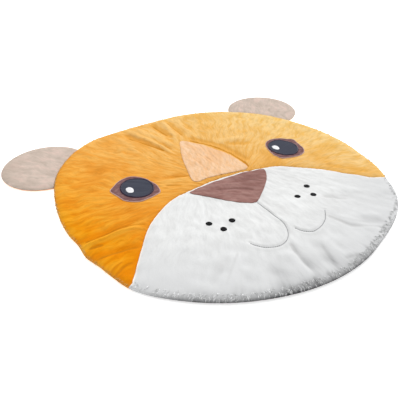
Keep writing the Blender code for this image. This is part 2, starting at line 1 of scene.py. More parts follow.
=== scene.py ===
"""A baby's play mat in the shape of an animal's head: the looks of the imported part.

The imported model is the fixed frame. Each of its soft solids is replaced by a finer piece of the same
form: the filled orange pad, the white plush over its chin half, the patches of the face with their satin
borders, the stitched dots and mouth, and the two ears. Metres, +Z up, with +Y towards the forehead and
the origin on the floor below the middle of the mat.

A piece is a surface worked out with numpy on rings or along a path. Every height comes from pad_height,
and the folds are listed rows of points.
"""

import math
from typing import NamedTuple

import bmesh
import bpy
import numpy as np
from mathutils import Matrix, Vector


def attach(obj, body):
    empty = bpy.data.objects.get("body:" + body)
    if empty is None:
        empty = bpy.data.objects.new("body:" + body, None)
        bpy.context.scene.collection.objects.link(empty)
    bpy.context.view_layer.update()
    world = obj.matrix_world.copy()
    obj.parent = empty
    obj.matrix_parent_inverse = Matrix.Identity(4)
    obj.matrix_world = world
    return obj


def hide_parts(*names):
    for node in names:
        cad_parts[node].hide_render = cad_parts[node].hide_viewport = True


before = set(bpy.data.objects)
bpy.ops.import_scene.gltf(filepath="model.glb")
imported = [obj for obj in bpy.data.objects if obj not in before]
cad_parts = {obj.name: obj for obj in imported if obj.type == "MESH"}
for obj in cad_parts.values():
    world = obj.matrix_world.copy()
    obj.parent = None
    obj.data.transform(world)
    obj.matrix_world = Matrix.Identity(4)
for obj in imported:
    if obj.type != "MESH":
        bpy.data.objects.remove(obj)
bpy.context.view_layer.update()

bl_info = {
    "name": "Baby Play Mat",
    "version": (1, 0, 0),
    "blender": (4, 5, 0),
    "location": "3D View > Sidebar > Play Mat",
    "description": "Builds the plush looks of a padded baby play mat around its packed solids",
    "category": "Object",
}

# The pad, from the side seam inwards
HEAD_CENTRE = (-0.003, -0.024)
SEAM_HEIGHT = 0.0095
ROLL_DEPTH = 0.045
ROLL_TOP = 0.0205
CROWN_TOP = 0.0265
CROWN_SPAN = 0.17
UNDER_DEPTH = 0.020
SIDE_START = 0.012

# Cloth
PLUSH = 0.003
PATCH = 0.0018
STITCHED = 0.0012
EAR_PLUSH = 0.002
GAP = 0.0004
SIDE_GAP = 0.0009
GROUND_CLEARANCE = 0.0015

# The muzzle's rays start here
MUZZLE_CENTRE = (-0.003, -0.150)
SEAM_GROOVE = 0.0035
SEAM_GROOVE_HALF_WIDTH = 0.013
SEAM_ROLL = 0.006
SEAM_DROP = 0.0026

# Ears
EAR_TOP = 0.0125
EAR_SEAM_HEIGHT = 0.0045
EAR_ROLL_DEPTH = 0.030
EAR_UNDER_DEPTH = 0.010
EAR_PUSH_OUT = 0.020
EAR_GAP = 0.0006
EAR_BLEND = 0.025
EAR_STEEPEST_TURN = math.radians(60.0)

# Tufts of pile: a cone's radius at its root, and how low it may hang
PILE_THICKNESS = 0.00035
PILE_LOWEST = 0.0015

# How finely the pieces are cut
SIDE_STEPS = 12
UNDER_STEPS = 9
WRAPPED_UNDER_STEPS = 6
GROUND_RINGS = 10
EAR_SIDES = 220
EAR_RINGS = 34
EAR_SIDE_STEPS = 16
EAR_UNDER_STEPS = 8
FARTHEST_REACH = 0.8
HALVINGS = 26
WELD = 0.00001


class NapRow(NamedTuple):
    """A plush brushed outwards from a point, its strokes counted along the arc at a reach from it."""

    x: float
    y: float
    reach: float


ORANGE_NAP = NapRow(0.0, -0.08, 0.30)
WHITE_NAP = NapRow(0.0, 0.22, 0.48)
EAR_NAP = NapRow(0.0, -0.3, 0.75)


class OutlineRow(NamedTuple):
    """Reach of the side seam from HEAD_CENTRE at an angle from +X towards +Y."""

    angle_deg: float
    reach: float


OUTLINE = (
    OutlineRow(0, 0.5070),
    OutlineRow(20, 0.5140),
    OutlineRow(40, 0.5250),
    OutlineRow(60, 0.5220),
    OutlineRow(75, 0.5130),
    OutlineRow(90, 0.4990),
    OutlineRow(105, 0.5090),
    OutlineRow(120, 0.5360),
    OutlineRow(140, 0.5300),
    OutlineRow(160, 0.5030),
    OutlineRow(170, 0.4945),
    OutlineRow(180, 0.4885),
    OutlineRow(186, 0.4840),
    OutlineRow(192, 0.4910),
    OutlineRow(198, 0.4885),
    OutlineRow(205, 0.4950),
    OutlineRow(212, 0.5020),
    OutlineRow(225, 0.4920),
    OutlineRow(240, 0.4830),
    OutlineRow(252, 0.4785),
    OutlineRow(270, 0.4775),
    OutlineRow(282, 0.4775),
    OutlineRow(291, 0.4775),
    OutlineRow(300, 0.4850),
    OutlineRow(310, 0.4985),
    OutlineRow(320, 0.5070),
    OutlineRow(330, 0.5040),
    OutlineRow(338, 0.5050),
    OutlineRow(348, 0.5010),
)

# The muzzle seam in plan, from where it meets the rolled side on the left to there on the right
SEAM_POINTS = (
    (-0.427, -0.271),
    (-0.413, -0.252),
    (-0.362, -0.183),
    (-0.301, -0.110),
    (-0.204, -0.043),
    (-0.109, -0.023),
    (-0.004, -0.017),
    (0.101, -0.029),
    (0.190, -0.058),
    (0.285, -0.138),
    (0.348, -0.203),
    (0.389, -0.243),
    (0.423, -0.268),
)


class FoldRow(NamedTuple):
    """A soft fold along a line of points: a ridge where rise is positive, a trough where negative."""

    points: tuple
    half_width: float
    rise: float


# The folds that the solids have too
FOLDS = (
    FoldRow(((-0.169, 0.400), (-0.159, 0.250)), 0.014, 0.0022),
    FoldRow(((-0.137, 0.410), (-0.081, 0.235)), 0.012, -0.0038),
    FoldRow(((-0.113, 0.435), (-0.064, 0.215)), 0.012, 0.0028),
    FoldRow(((-0.069, 0.330), (-0.051, 0.225)), 0.009, -0.0024),
    FoldRow(((-0.079, 0.430), (-0.039, 0.240)), 0.012, 0.0026),
    FoldRow(((-0.015, 0.450), (-0.009, 0.300)), 0.013, -0.0034),
    FoldRow(((0.027, 0.435), (0.005, 0.295)), 0.012, 0.0028),
    FoldRow(((0.047, 0.430), (0.039, 0.300)), 0.011, -0.0024),
    FoldRow(((0.083, 0.420), (0.057, 0.280)), 0.012, 0.0024),
    FoldRow(((0.095, 0.420), (0.083, 0.320)), 0.012, -0.0024),
    FoldRow(((0.037, 0.262), (0.101, 0.165)), 0.012, -0.0036),
    FoldRow(((0.103, 0.165), (0.123, 0.030)), 0.013, -0.0040),
    FoldRow(((0.111, 0.190), (0.206, 0.160)), 0.014, 0.0028),
    FoldRow(((0.136, 0.160), (0.206, 0.115)), 0.013, -0.0024),
    FoldRow(((-0.174, 0.075), (-0.104, 0.058)), 0.012, -0.0022),
    FoldRow(((-0.179, 0.045), (-0.109, 0.030)), 0.012, 0.0024),
    FoldRow(((-0.487, -0.096), (-0.329, -0.100)), 0.011, 0.0040),
    FoldRow(((-0.479, -0.072), (-0.329, -0.078)), 0.014, -0.0024),
    FoldRow(((-0.474, -0.146), (-0.359, -0.164)), 0.014, -0.0028),
    FoldRow(((-0.464, -0.236), (-0.409, -0.236)), 0.014, -0.0026),
    FoldRow(((0.411, -0.225), (0.321, -0.130)), 0.014, -0.0022),
    FoldRow(((-0.259, -0.392), (-0.174, -0.330)), 0.014, 0.0024),
    FoldRow(((-0.271, -0.372), (-0.204, -0.320)), 0.014, -0.0020),
    FoldRow(((-0.044, -0.480), (-0.044, -0.375)), 0.013, -0.0026),
    FoldRow(((-0.071, -0.470), (-0.067, -0.380)), 0.013, 0.0022),
    FoldRow(((0.005, -0.480), (0.011, -0.385)), 0.013, -0.0026),
    FoldRow(((0.043, -0.470), (0.039, -0.385)), 0.013, 0.0022),
    FoldRow(((0.181, -0.262), (0.256, -0.300)), 0.016, -0.0028),
    FoldRow(((0.181, -0.385), (0.253, -0.438)), 0.014, -0.0036),
    FoldRow(((0.211, -0.370), (0.283, -0.420)), 0.014, 0.0026),
    FoldRow(((0.291, -0.330), (0.363, -0.352)), 0.016, -0.0028),
)

# The sharper creases between them on the orange plush
ORANGE_CREASES = (
    FoldRow(((-0.138, 0.381), (-0.108, 0.301), (-0.078, 0.222)), 0.0050, -0.0018),
    FoldRow(((-0.073, 0.291), (-0.053, 0.217)), 0.0040, -0.0014),
    FoldRow(((-0.019, 0.430), (-0.014, 0.321)), 0.0050, -0.0018),
    FoldRow(((0.036, 0.420), (0.031, 0.291)), 0.0045, -0.0014),
    FoldRow(((0.076, 0.371), (0.074, 0.321)), 0.0045, -0.0012),
    FoldRow(((-0.158, 0.291), (-0.148, 0.242)), 0.0045, -0.0012),
    FoldRow(((-0.118, 0.420), (-0.063, 0.202)), 0.0050, 0.0012),
    FoldRow(((-0.083, 0.410), (-0.043, 0.222)), 0.0050, 0.0012),
    FoldRow(((0.021, 0.420), (-0.004, 0.271)), 0.0050, 0.0012),
    FoldRow(((0.031, 0.242), (0.086, 0.142), (0.104, 0.043), (0.098, -0.010)), 0.0050, -0.0022),
    FoldRow(((0.086, 0.177), (0.185, 0.157)), 0.0055, 0.0014),
    FoldRow(((0.135, 0.152), (0.185, 0.117)), 0.0045, -0.0012),
    FoldRow(((0.115, 0.142), (0.165, 0.103)), 0.0045, 0.0012),
    FoldRow(((-0.202, 0.063), (-0.103, 0.033)), 0.0045, 0.0016),
    FoldRow(((-0.195, 0.045), (-0.168, -0.002)), 0.0045, 0.0014),
    FoldRow(((-0.143, 0.068), (-0.093, 0.043)), 0.0040, -0.0016),
    FoldRow(((-0.178, 0.030), (-0.135, 0.005)), 0.0045, -0.0014),
    FoldRow(
        ((-0.473, -0.095), (-0.441, -0.099), (-0.405, -0.094), (-0.358, -0.101), (-0.330, -0.112), (-0.310, -0.124)),
        0.0042,
        0.0026,
    ),
    FoldRow(((-0.469, -0.084), (-0.436, -0.086), (-0.393, -0.080), (-0.346, -0.087), (-0.309, -0.105)), 0.0045, -0.0016),
    FoldRow(((-0.462, -0.158), (-0.426, -0.159), (-0.392, -0.163), (-0.358, -0.171)), 0.0045, -0.0018),
    FoldRow(((-0.470, -0.112), (-0.432, -0.117)), 0.0050, -0.0020),
    FoldRow(((-0.458, -0.236), (-0.420, -0.215), (-0.395, -0.212)), 0.0040, -0.0018),
    FoldRow(((-0.465, -0.222), (-0.440, -0.205), (-0.415, -0.198)), 0.0040, -0.0014),
    FoldRow(((-0.470, -0.200), (-0.435, -0.190)), 0.0045, 0.0012),
    FoldRow(((-0.465, 0.020), (-0.417, 0.016), (-0.362, 0.010), (-0.314, -0.015)), 0.0080, 0.0014),
)

# The same on the white plush
WHITE_CREASES = (
    FoldRow(((-0.039, -0.362), (-0.050, -0.419), (-0.058, -0.482)), 0.0060, -0.0020),
    FoldRow(((0.024, -0.404), (0.013, -0.450), (0.000, -0.488)), 0.0060, -0.0018),
    FoldRow(((0.124, -0.330), (0.136, -0.360), (0.152, -0.390), (0.192, -0.418), (0.229, -0.445)), 0.0065, -0.0022),
    FoldRow(((0.150, -0.345), (0.175, -0.375), (0.215, -0.405)), 0.0065, 0.0012),
    FoldRow(((-0.168, -0.320), (-0.213, -0.357), (-0.257, -0.395)), 0.0060, -0.0012),
    FoldRow(((0.175, -0.255), (0.230, -0.300)), 0.0060, -0.0012),
    FoldRow(((0.089, -0.489), (0.073, -0.476), (0.042, -0.468)), 0.0050, -0.0022),
    FoldRow(((-0.067, -0.486), (-0.102, -0.478), (-0.141, -0.476)), 0.0050, -0.0022),
    FoldRow(((0.216, -0.455), (0.214, -0.430)), 0.0045, -0.0030),
    FoldRow(((0.115, -0.492), (0.118, -0.466)), 0.0045, -0.0030),
    FoldRow(((-0.038, -0.508), (-0.031, -0.480)), 0.0045, -0.0030),
    FoldRow(((-0.077, -0.502), (-0.067, -0.476)), 0.0045, -0.0030),
    FoldRow(((-0.320, -0.409), (-0.305, -0.388)), 0.0045, -0.0020),
    FoldRow(((-0.266, -0.441), (-0.250, -0.418)), 0.0045, -0.0024),
)


class PuffRow(NamedTuple):
    """A soft round rise of the filling."""

    x: float
    y: float
    radius_x: float
    radius_y: float
    rise: float


PUFFS = (
    PuffRow(-0.064, -0.262, 0.085, 0.090, 0.0030),
    PuffRow(0.076, -0.268, 0.080, 0.090, 0.0030),
    PuffRow(-0.004, -0.090, 0.110, 0.070, 0.0025),
    PuffRow(-0.309, -0.020, 0.120, 0.080, 0.0022),
    PuffRow(0.321, -0.020, 0.120, 0.090, 0.0022),
    PuffRow(-0.009, 0.110, 0.070, 0.110, 0.0020),
    PuffRow(-0.259, 0.270, 0.150, 0.100, 0.0022),
    PuffRow(0.241, 0.280, 0.150, 0.100, 0.0022),
)

# Flat pieces, each outline in plan, going round anticlockwise
BRIDGE_OUTLINE = (
    (-0.001, 0.250),
    (-0.027, 0.205),
    (-0.049, 0.160),
    (-0.073, 0.092),
    (-0.095, 0.006),
    (-0.049, -0.001),
    (0.021, -0.008),
    (0.089, -0.015),
    (0.094, 0.030),
    (0.081, 0.108),
    (0.055, 0.172),
    (0.027, 0.224),
)
NOSE_OUTLINE = (
    (-0.136, -0.038),
    (-0.109, -0.082),
    (-0.076, -0.124),
    (-0.042, -0.163),
    (-0.005, -0.180),
    (0.031, -0.158),
    (0.073, -0.124),
    (0.104, -0.093),
    (0.125, -0.060),
    (0.117, -0.043),
    (0.052, -0.033),
    (-0.004, -0.031),
    (-0.069, -0.031),
)

# Creases inside the two patches
BRIDGE_CREASES = (
    FoldRow(((-0.026, 0.132), (-0.026, 0.033)), 0.0060, -0.0010),
    FoldRow(((0.006, 0.140), (0.020, 0.060), (0.028, 0.010)), 0.0060, -0.0009),
    FoldRow(((0.042, 0.130), (0.040, 0.060)), 0.0060, 0.0009),
)
NOSE_CREASES = (
    FoldRow(((-0.100, -0.042), (-0.043, -0.058), (0.016, -0.084)), 0.0070, 0.0014),
    FoldRow(((-0.070, -0.070), (0.000, -0.105), (0.030, -0.130)), 0.0060, -0.0012),
    FoldRow(((0.030, -0.060), (0.060, -0.085), (0.080, -0.110)), 0.0060, -0.0012),
    FoldRow(((0.060, -0.050), (0.095, -0.070)), 0.0060, 0.0010),
    FoldRow(((-0.030, -0.140), (-0.005, -0.120)), 0.0060, 0.0010),
)


class EyeRow(NamedTuple):
    """An eye: its pupil's centre, which way its outer tip points, its tilt, and its highlight's offset."""

    side: str
    x: float
    y: float
    outward: float
    tilt_deg: float
    highlight_x: float
    highlight_y: float


EYES = (
    EyeRow("left", -0.257, 0.060, -1.0, 0.0, -0.024, -0.003),
    EyeRow("right", 0.270, 0.025, 1.0, -2.0, -0.023, 0.011),
)

# The piece under an eye, from the pupil's centre, with +X towards the outer tip
EYE_BASE_OUTLINE = (
    (0.071, 0.030),
    (0.046, 0.052),
    (0.024, 0.067),
    (0.000, 0.070),
    (-0.024, 0.061),
    (-0.042, 0.038),
    (-0.051, 0.010),
    (-0.057, -0.018),
    (-0.050, -0.050),
    (-0.030, -0.061),
    (-0.004, -0.067),
    (0.020, -0.068),
    (0.042, -0.058),
    (0.057, -0.036),
    (0.064, -0.004),
)
PUPIL_RADII = (0.047, 0.054)
HIGHLIGHT_RADII = (0.0105, 0.0155)

DOT_RADIUS = 0.0088
WHISKER_DOTS = {
    "left": ((-0.169, -0.192), (-0.150, -0.232), (-0.111, -0.214)),
    "right": ((0.174, -0.193), (0.158, -0.237), (0.113, -0.220)),
}

# The mouth's two stitched lines
MOUTH_LINES = (
    (
        (-0.002, -0.182),
        (-0.002, -0.221),
        (-0.002, -0.258),
        (-0.002, -0.287),
        (-0.006, -0.306),
        (-0.013, -0.322),
        (-0.025, -0.338),
        (-0.046, -0.352),
        (-0.072, -0.354),
        (-0.102, -0.340),
        (-0.119, -0.322),
        (-0.126, -0.307),
    ),
    (
        (0.011, -0.323),
        (0.022, -0.343),
        (0.043, -0.357),
        (0.070, -0.354),
        (0.102, -0.339),
        (0.121, -0.322),
        (0.135, -0.305),
    ),
)
MOUTH_GROOVE = 0.0016
MOUTH_GROOVE_HALF_WIDTH = 0.0032
MOUTH_LIP = 0.0007
MOUTH_LIP_DISTANCE = 0.0075


class EarRow(NamedTuple):
    """An ear: a disc that the head's outline cuts into."""

    side: str
    x: float
    y: float
    radius: float


EARS = (
    EarRow("left", -0.439, 0.365, 0.139),
    EarRow("right", 0.442, 0.354, 0.137),
)
EAR_CREASES = {
    "left": (
        FoldRow(((-0.520, 0.400), (-0.450, 0.345), (-0.400, 0.300)), 0.0090, 0.0010),
        FoldRow(((-0.500, 0.330), (-0.430, 0.285)), 0.0080, -0.0009),
        FoldRow(((-0.430, 0.420), (-0.385, 0.380)), 0.0080, -0.0009),
    ),
    "right": (
        FoldRow(((0.330, 0.400), (0.375, 0.345), (0.410, 0.290)), 0.0070, -0.0014),
        FoldRow(((0.380, 0.420), (0.440, 0.360), (0.500, 0.320)), 0.0090, 0.0010),
        FoldRow(((0.440, 0.330), (0.490, 0.280)), 0.0070, -0.0011),
    ),
}


def smooth_step(value):
    """0 below 0, 1 above 1, and a smooth S between them."""
    held = np.clip(value, 0.0, 1.0)
    return held * held * (3.0 - 2.0 * held)


def smooth_curve(points, steps, closed):
    """Points on a Catmull-Rom curve through the given ones, `steps` for each stretch between two."""
    given = np.asarray(points, float)
    if closed:
        padded = np.vstack([given[-1], given, given[0], given[1]])
    else:
        padded = np.vstack([2 * given[0] - given[1], given, 2 * given[-1] - given[-2]])
    before, start, end, after = (padded[i : len(padded) - 3 + i, None] for i in range(4))
    t = (np.arange(steps) / steps)[None, :, None]
    straight = 2 * start + (end - before) * t
    bend = (2 * before - 5 * start + 4 * end - after) * t**2
    twist = (3 * start - before - 3 * end + after) * t**3
    curve = ((straight + bend + twist) / 2).reshape(-1, given.shape[1])
    return curve if closed else np.vstack([curve, given[-1:]])


def outline_reach(angle):
    """Reach of the side seam from HEAD_CENTRE at an angle in radians, smooth all the way round."""
    rows = [(row.angle_deg, row.reach) for row in OUTLINE]
    wrapped = [(a - 360.0, r) for a, r in rows[-2:]] + rows + [(a + 360.0, r) for a, r in rows[:3]]
    curve = smooth_curve(wrapped, 12, closed=False)
    return np.interp(np.degrees(angle) % 360.0, curve[:, 0], curve[:, 1])


def inset_from_outline(x, y):
    """How far a point lies inside the side seam, measured towards HEAD_CENTRE."""
    along_x = x - HEAD_CENTRE[0]
    along_y = y - HEAD_CENTRE[1]
    return outline_reach(np.arctan2(along_y, along_x)) - np.hypot(along_x, along_y)


def ray_reach(angle, inset):
    """Distance from MUZZLE_CENTRE, along a ray, to where the outline is `inset` away. Halves an interval."""
    angle, inset = np.broadcast_arrays(np.asarray(angle, float), np.asarray(inset, float))
    near = np.zeros(angle.shape)
    far = np.full(angle.shape, FARTHEST_REACH)
    for _ in range(HALVINGS):
        middle = (near + far) / 2
        inside = inset_from_outline(*on_rays(angle, middle)) > inset
        near = np.where(inside, middle, near)
        far = np.where(inside, far, middle)
    return (near + far) / 2


def on_rays(angle, reach):
    """Plan positions at a reach from MUZZLE_CENTRE along each ray."""
    return MUZZLE_CENTRE[0] + reach * np.cos(angle), MUZZLE_CENTRE[1] + reach * np.sin(angle)


def seam_line():
    """The muzzle seam as a dense line in plan, left to right."""
    return smooth_curve(SEAM_POINTS, 10, closed=False)


def seam_polar():
    """Angle and reach of the seam from MUZZLE_CENTRE, with the angle rising from straight down."""
    offset = seam_line() - np.array(MUZZLE_CENTRE)
    angle = (np.arctan2(offset[:, 1], offset[:, 0]) + math.pi / 2) % (2 * math.pi) - math.pi / 2
    order = np.argsort(angle)
    return angle[order], np.hypot(offset[:, 0], offset[:, 1])[order]


class NearLine(NamedTuple):
    """For each point, the distance to a line in plan and how far along the line the nearest place is."""

    distance: np.ndarray
    along: np.ndarray


def near_line(x, y, line):
    """The nearest place on a line of short stretches, for each point."""
    nearest = np.full(np.shape(x), np.inf)
    place = np.zeros(np.shape(x))
    travelled = 0.0
    for start, end in zip(line[:-1], line[1:]):
        run = end - start
        length = math.hypot(*run)
        along = np.clip(((x - start[0]) * run[0] + (y - start[1]) * run[1]) / length, 0.0, length)
        gap = np.hypot(x - start[0] - along * run[0] / length, y - start[1] - along * run[1] / length)
        closer = gap < nearest
        nearest = np.where(closer, gap, nearest)
        place = np.where(closer, travelled + along, place)
        travelled += length
    return NearLine(nearest, place)


def line_length(line):
    """Length of a line of points."""
    return float(np.linalg.norm(np.diff(line, axis=0), axis=1).sum())


def fold_rise(x, y, rows):
    """Sum of folds: each is a bell across its line, and fades out over the line's two ends."""
    total = np.zeros(np.shape(x))
    for row in rows:
        line = np.array(row.points)
        if len(line) > 2:
            line = smooth_curve(line, 4, closed=False)
        fade = row.half_width * 1.5
        first = line[0] - (line[1] - line[0]) / math.hypot(*(line[1] - line[0])) * fade
        last = line[-1] + (line[-1] - line[-2]) / math.hypot(*(line[-1] - line[-2])) * fade
        whole = np.vstack([first, line[1:-1], last]) if len(line) > 2 else np.vstack([first, last])
        near = near_line(x, y, whole)
        ends = smooth_step(near.along / (2 * fade)) * smooth_step((line_length(whole) - near.along) / (2 * fade))
        total += row.rise * np.exp(-((near.distance / row.half_width) ** 2)) * ends
    return total


def puff_rise(x, y):
    """Sum of the puffs, each a bell in both directions."""
    total = np.zeros(np.shape(x))
    for row in PUFFS:
        reach = ((x - row.x) / row.radius_x) ** 2 + ((y - row.y) / row.radius_y) ** 2
        total += row.rise * np.exp(-reach)
    return total


def waves(across, along, seed, count, shortest, longest):
    """Sum of `count` plane waves with seeded lengths, headings and starts, scaled to a spread of 1."""
    rng = np.random.default_rng(seed)
    length = np.exp(rng.uniform(math.log(shortest), math.log(longest), count))
    heading = rng.uniform(0.0, math.pi, count)
    start = rng.uniform(0.0, 2 * math.pi, count)
    total = np.zeros(np.shape(across))
    for k in range(count):
        turn = 2 * math.pi / length[k]
        total += np.cos(turn * (across * math.cos(heading[k]) + along * math.sin(heading[k])) + start[k])
    return total / math.sqrt(count / 2)


def nap_place(x, y, nap):
    """Place on the brushed nap: along the arc at its reach, and outwards from its centre."""
    dx = x - nap.x
    dy = y - nap.y
    turn = (np.arctan2(dy, dx) + math.pi / 2) % (2 * math.pi)
    return (turn - 2 * math.pi * (turn > 1.5 * math.pi)) * nap.reach, np.hypot(dx, dy)


def rounded(inset, depth):
    """Share of the full height over a rolled edge: a quarter ellipse, 0 at the side and 1 from depth inwards."""
    away = 1.0 - np.clip(inset / depth, 0.0, 1.0)
    return np.sqrt(1.0 - away * away)


def pad_height(x, y, detail):
    """Height of the mat's top: crown, seam groove, folds, puffs and a piece's own detail, rolled to the seam."""
    inset = inset_from_outline(x, y)
    crown = ROLL_TOP + (CROWN_TOP - ROLL_TOP) * smooth_step((inset - ROLL_DEPTH) / CROWN_SPAN)
    groove = np.exp(-((near_line(x, y, seam_line()).distance / SEAM_GROOVE_HALF_WIDTH) ** 2))
    relief = fold_rise(x, y, FOLDS) + puff_rise(x, y) - SEAM_GROOVE * groove
    crown += relief * smooth_step(inset / ROLL_DEPTH)
    crown += detail * smooth_step(inset / SIDE_START)
    return SEAM_HEIGHT + (crown - SEAM_HEIGHT) * rounded(inset, ROLL_DEPTH)


def seam_puckers(along, distance, seed, depth, reach):
    """Short troughs across a seam: uneven waves along it that fade out with the distance from it."""
    uneven = waves(along, np.zeros(np.shape(along)), seed, 14, 0.010, 0.034)
    swell = smooth_step(0.55 + 0.5 * waves(along, np.zeros(np.shape(along)), seed + 1, 8, 0.06, 0.22))
    return -depth * swell * smooth_step(uneven * 0.7) * np.exp(-distance / reach)


def edge_roll(distance):
    """How far cloth drops where it turns into a seam: a quarter circle over SEAM_ROLL."""
    return -SEAM_DROP * (1.0 - rounded(distance, SEAM_ROLL))


def orange_detail(x, y, sizes):
    """Creases, puckers and brushed unevenness of the orange plush."""
    seam = near_line(x, y, seam_line())
    inset = inset_from_outline(x, y)
    rim_along = np.arctan2(y - HEAD_CENTRE[1], x - HEAD_CENTRE[0]) * outline_reach(0.0)
    across, along = nap_place(x, y, ORANGE_NAP)
    creases = fold_rise(x, y, ORANGE_CREASES) * sizes.crease_depth
    puckers = seam_puckers(seam.along, seam.distance, 11, 0.0020, 0.016)
    puckers += seam_puckers(rim_along, inset, 23, 0.0014, 0.022)
    brushed = waves(across, along * 0.22, 5, 26, 0.012, 0.045) * 0.00042
    uneven = waves(x, y, 7, 16, 0.05, 0.14) * 0.00050
    return creases + puckers * sizes.pucker_depth + brushed + uneven + edge_roll(seam.distance)


def white_detail(x, y, sizes):
    """Creases, puckers, mouth grooves and unevenness of the white plush."""
    seam = near_line(x, y, seam_line())
    inset = inset_from_outline(x, y)
    rim_along = np.arctan2(y - HEAD_CENTRE[1], x - HEAD_CENTRE[0]) * outline_reach(0.0)
    across, along = nap_place(x, y, WHITE_NAP)
    creases = fold_rise(x, y, WHITE_CREASES) * sizes.crease_depth
    puckers = seam_puckers(seam.along, seam.distance, 31, 0.0010, 0.012)
    puckers += seam_puckers(rim_along, inset, 37, 0.0022, 0.024)
    brushed = waves(across, along * 0.4, 13, 26, 0.014, 0.05) * 0.00030
    uneven = waves(x, y, 17, 18, 0.04, 0.13) * 0.00055
    mouth = mouth_relief(x, y)
    return creases + puckers * sizes.pucker_depth + brushed + uneven + mouth + edge_roll(seam.distance)


def mouth_relief(x, y):
    """The grooves that the mouth's thread pulls in, with a soft lip on both sides of each."""
    distance = np.full(np.shape(x), np.inf)
    for points in MOUTH_LINES:
        line = smooth_curve(points, 5, closed=False)
        distance = np.minimum(distance, near_line(x, y, line).distance)
    groove = MOUTH_GROOVE * np.exp(-((distance / MOUTH_GROOVE_HALF_WIDTH) ** 2))
    lip = MOUTH_LIP * np.exp(-(((distance - MOUTH_LIP_DISTANCE) / 0.004) ** 2))
    return lip - groove


class Side(NamedTuple):
    """A rolled side's rows, from its start on the top, out to the side seam and under to the floor.

    share is a row's part of the start's height above the side seam, and drop its part of the way from
    that seam to the floor. turn is the angle of its outward normal from straight up.
    """

    inset: np.ndarray
    share: np.ndarray
    drop: np.ndarray
    turn: np.ndarray


def rolled_side(start_inset, roll_depth, rise, under_depth, seam_height, over_steps, under_steps):
    """Work out the rows of a side: a quarter ellipse above the side seam and another below it."""
    first = math.asin(1.0 - start_inset / roll_depth)
    over = np.linspace(first, math.pi / 2, over_steps + 1)[:, None]
    under = np.linspace(0.0, math.pi / 2, under_steps + 1)[1:, None]
    inset = np.concatenate([roll_depth * (1 - np.sin(over)), under_depth * (1 - np.cos(under))])
    share = np.concatenate([np.cos(over) / math.cos(first), 0.0 * under])
    drop = np.concatenate([0.0 * over, np.sin(under)])
    over_turn = np.arctan2(np.sin(over) * rise, np.cos(over) * roll_depth)
    over_turn[0] = 0.0
    under_turn = math.pi - np.arctan2(np.cos(under) * seam_height, np.sin(under) * under_depth)
    return Side(inset, share, drop, np.concatenate([over_turn, under_turn]))


def side_heights(side, start_height, seam_height):
    """Height of each row of a side under each column of points."""
    return seam_height + side.share * (start_height - seam_height) - side.drop * seam_height


class Surface:
    """Points and faces gathered grid by grid, then welded into one closed mesh."""

    def __init__(self):
        self.points = []
        self.faces = []
        self.count = 0

    def add_grid(self, grid, closed):
        """Add a grid of points (rows, columns, 3), one quad a cell. A closed one joins its ends."""
        rows, columns = grid.shape[:2]
        index = self.count + np.arange(rows * columns).reshape(rows, columns)
        following = np.roll(index, -1, axis=1) if closed else index[:, 1:]
        here = index if closed else index[:, :-1]
        quads = np.stack([here[:-1], following[:-1], following[1:], here[1:]], axis=-1)
        self.points.append(grid.reshape(-1, 3))
        self.faces += quads.reshape(-1, 4).tolist()
        self.count += rows * columns

    def add_ring_cap(self, ring):
        """Close a ring of points with one flat face."""
        self.points.append(ring)
        self.faces.append(list(range(self.count, self.count + len(ring))))
        self.count += len(ring)

    def build(self, name, finish, sharp_deg=180.0):
        """Weld what meets, turn the faces outwards and make the object."""
        mesh = bpy.data.meshes.new(name)
        mesh.from_pydata(np.vstack(self.points).tolist(), [], self.faces)
        work = bmesh.new()
        work.from_mesh(mesh)
        bmesh.ops.remove_doubles(work, verts=work.verts, dist=WELD)
        bmesh.ops.dissolve_degenerate(work, edges=work.edges, dist=WELD)
        bmesh.ops.recalc_face_normals(work, faces=work.faces)
        work.to_mesh(mesh)
        work.free()
        mesh.materials.append(finish)
        mesh.shade_smooth()
        mesh.set_sharp_from_angle(angle=math.radians(sharp_deg))
        obj = bpy.data.objects.new(name, mesh)
        bpy.context.scene.collection.objects.link(obj)
        return obj


def stack(x, y, z):
    """Three equal arrays as one array of points."""
    return np.stack(np.broadcast_arrays(x, y, z), axis=-1)


def places(obj):
    """A mesh's points as one array."""
    flat = np.zeros(len(obj.data.vertices) * 3, np.float32)
    obj.data.vertices.foreach_get("co", flat)
    return flat.reshape(-1, 3).astype(float)


def paint(obj, name, values):
    """Store a number for each point of a mesh, for its material to read."""
    attribute = obj.data.attributes.new(name, "FLOAT", "POINT")
    attribute.data.foreach_set("value", np.asarray(values, np.float32))


def paint_nap(obj, across, along):
    """Store each point's place on its nap, for strokes that follow it."""
    height = places(obj)[:, 2]
    attribute = obj.data.attributes.new("nap", "FLOAT_VECTOR", "POINT")
    attribute.data.foreach_set("vector", stack(across, along, height).astype(np.float32).ravel())


def even_steps(start, end, step):
    """Evenly spaced values from start to end, about `step` apart."""
    count = max(1, round((end - start) / step))
    return np.linspace(start, end, count + 1)


def bunched(count, at_ends):
    """Shares from 0 to 1: even steps less a sine, so that they bunch at both ends, or in the middle."""
    t = np.linspace(0.0, 1.0, count + 1)
    return t - at_ends * np.sin(2 * np.pi * t) / (2 * np.pi)


def ray_angles(sizes):
    """Angles of the rays from MUZZLE_CENTRE: above the seam from its right end to its left, then the chin's."""
    angle, _ = seam_polar()
    right, left = np.degrees(angle[0]), np.degrees(angle[-1])
    above = even_steps(right, left, sizes.ray_step)
    chin = even_steps(left, right + 360.0, sizes.ray_step * 1.3)[1:-1]
    return np.radians(above), np.radians(chin)


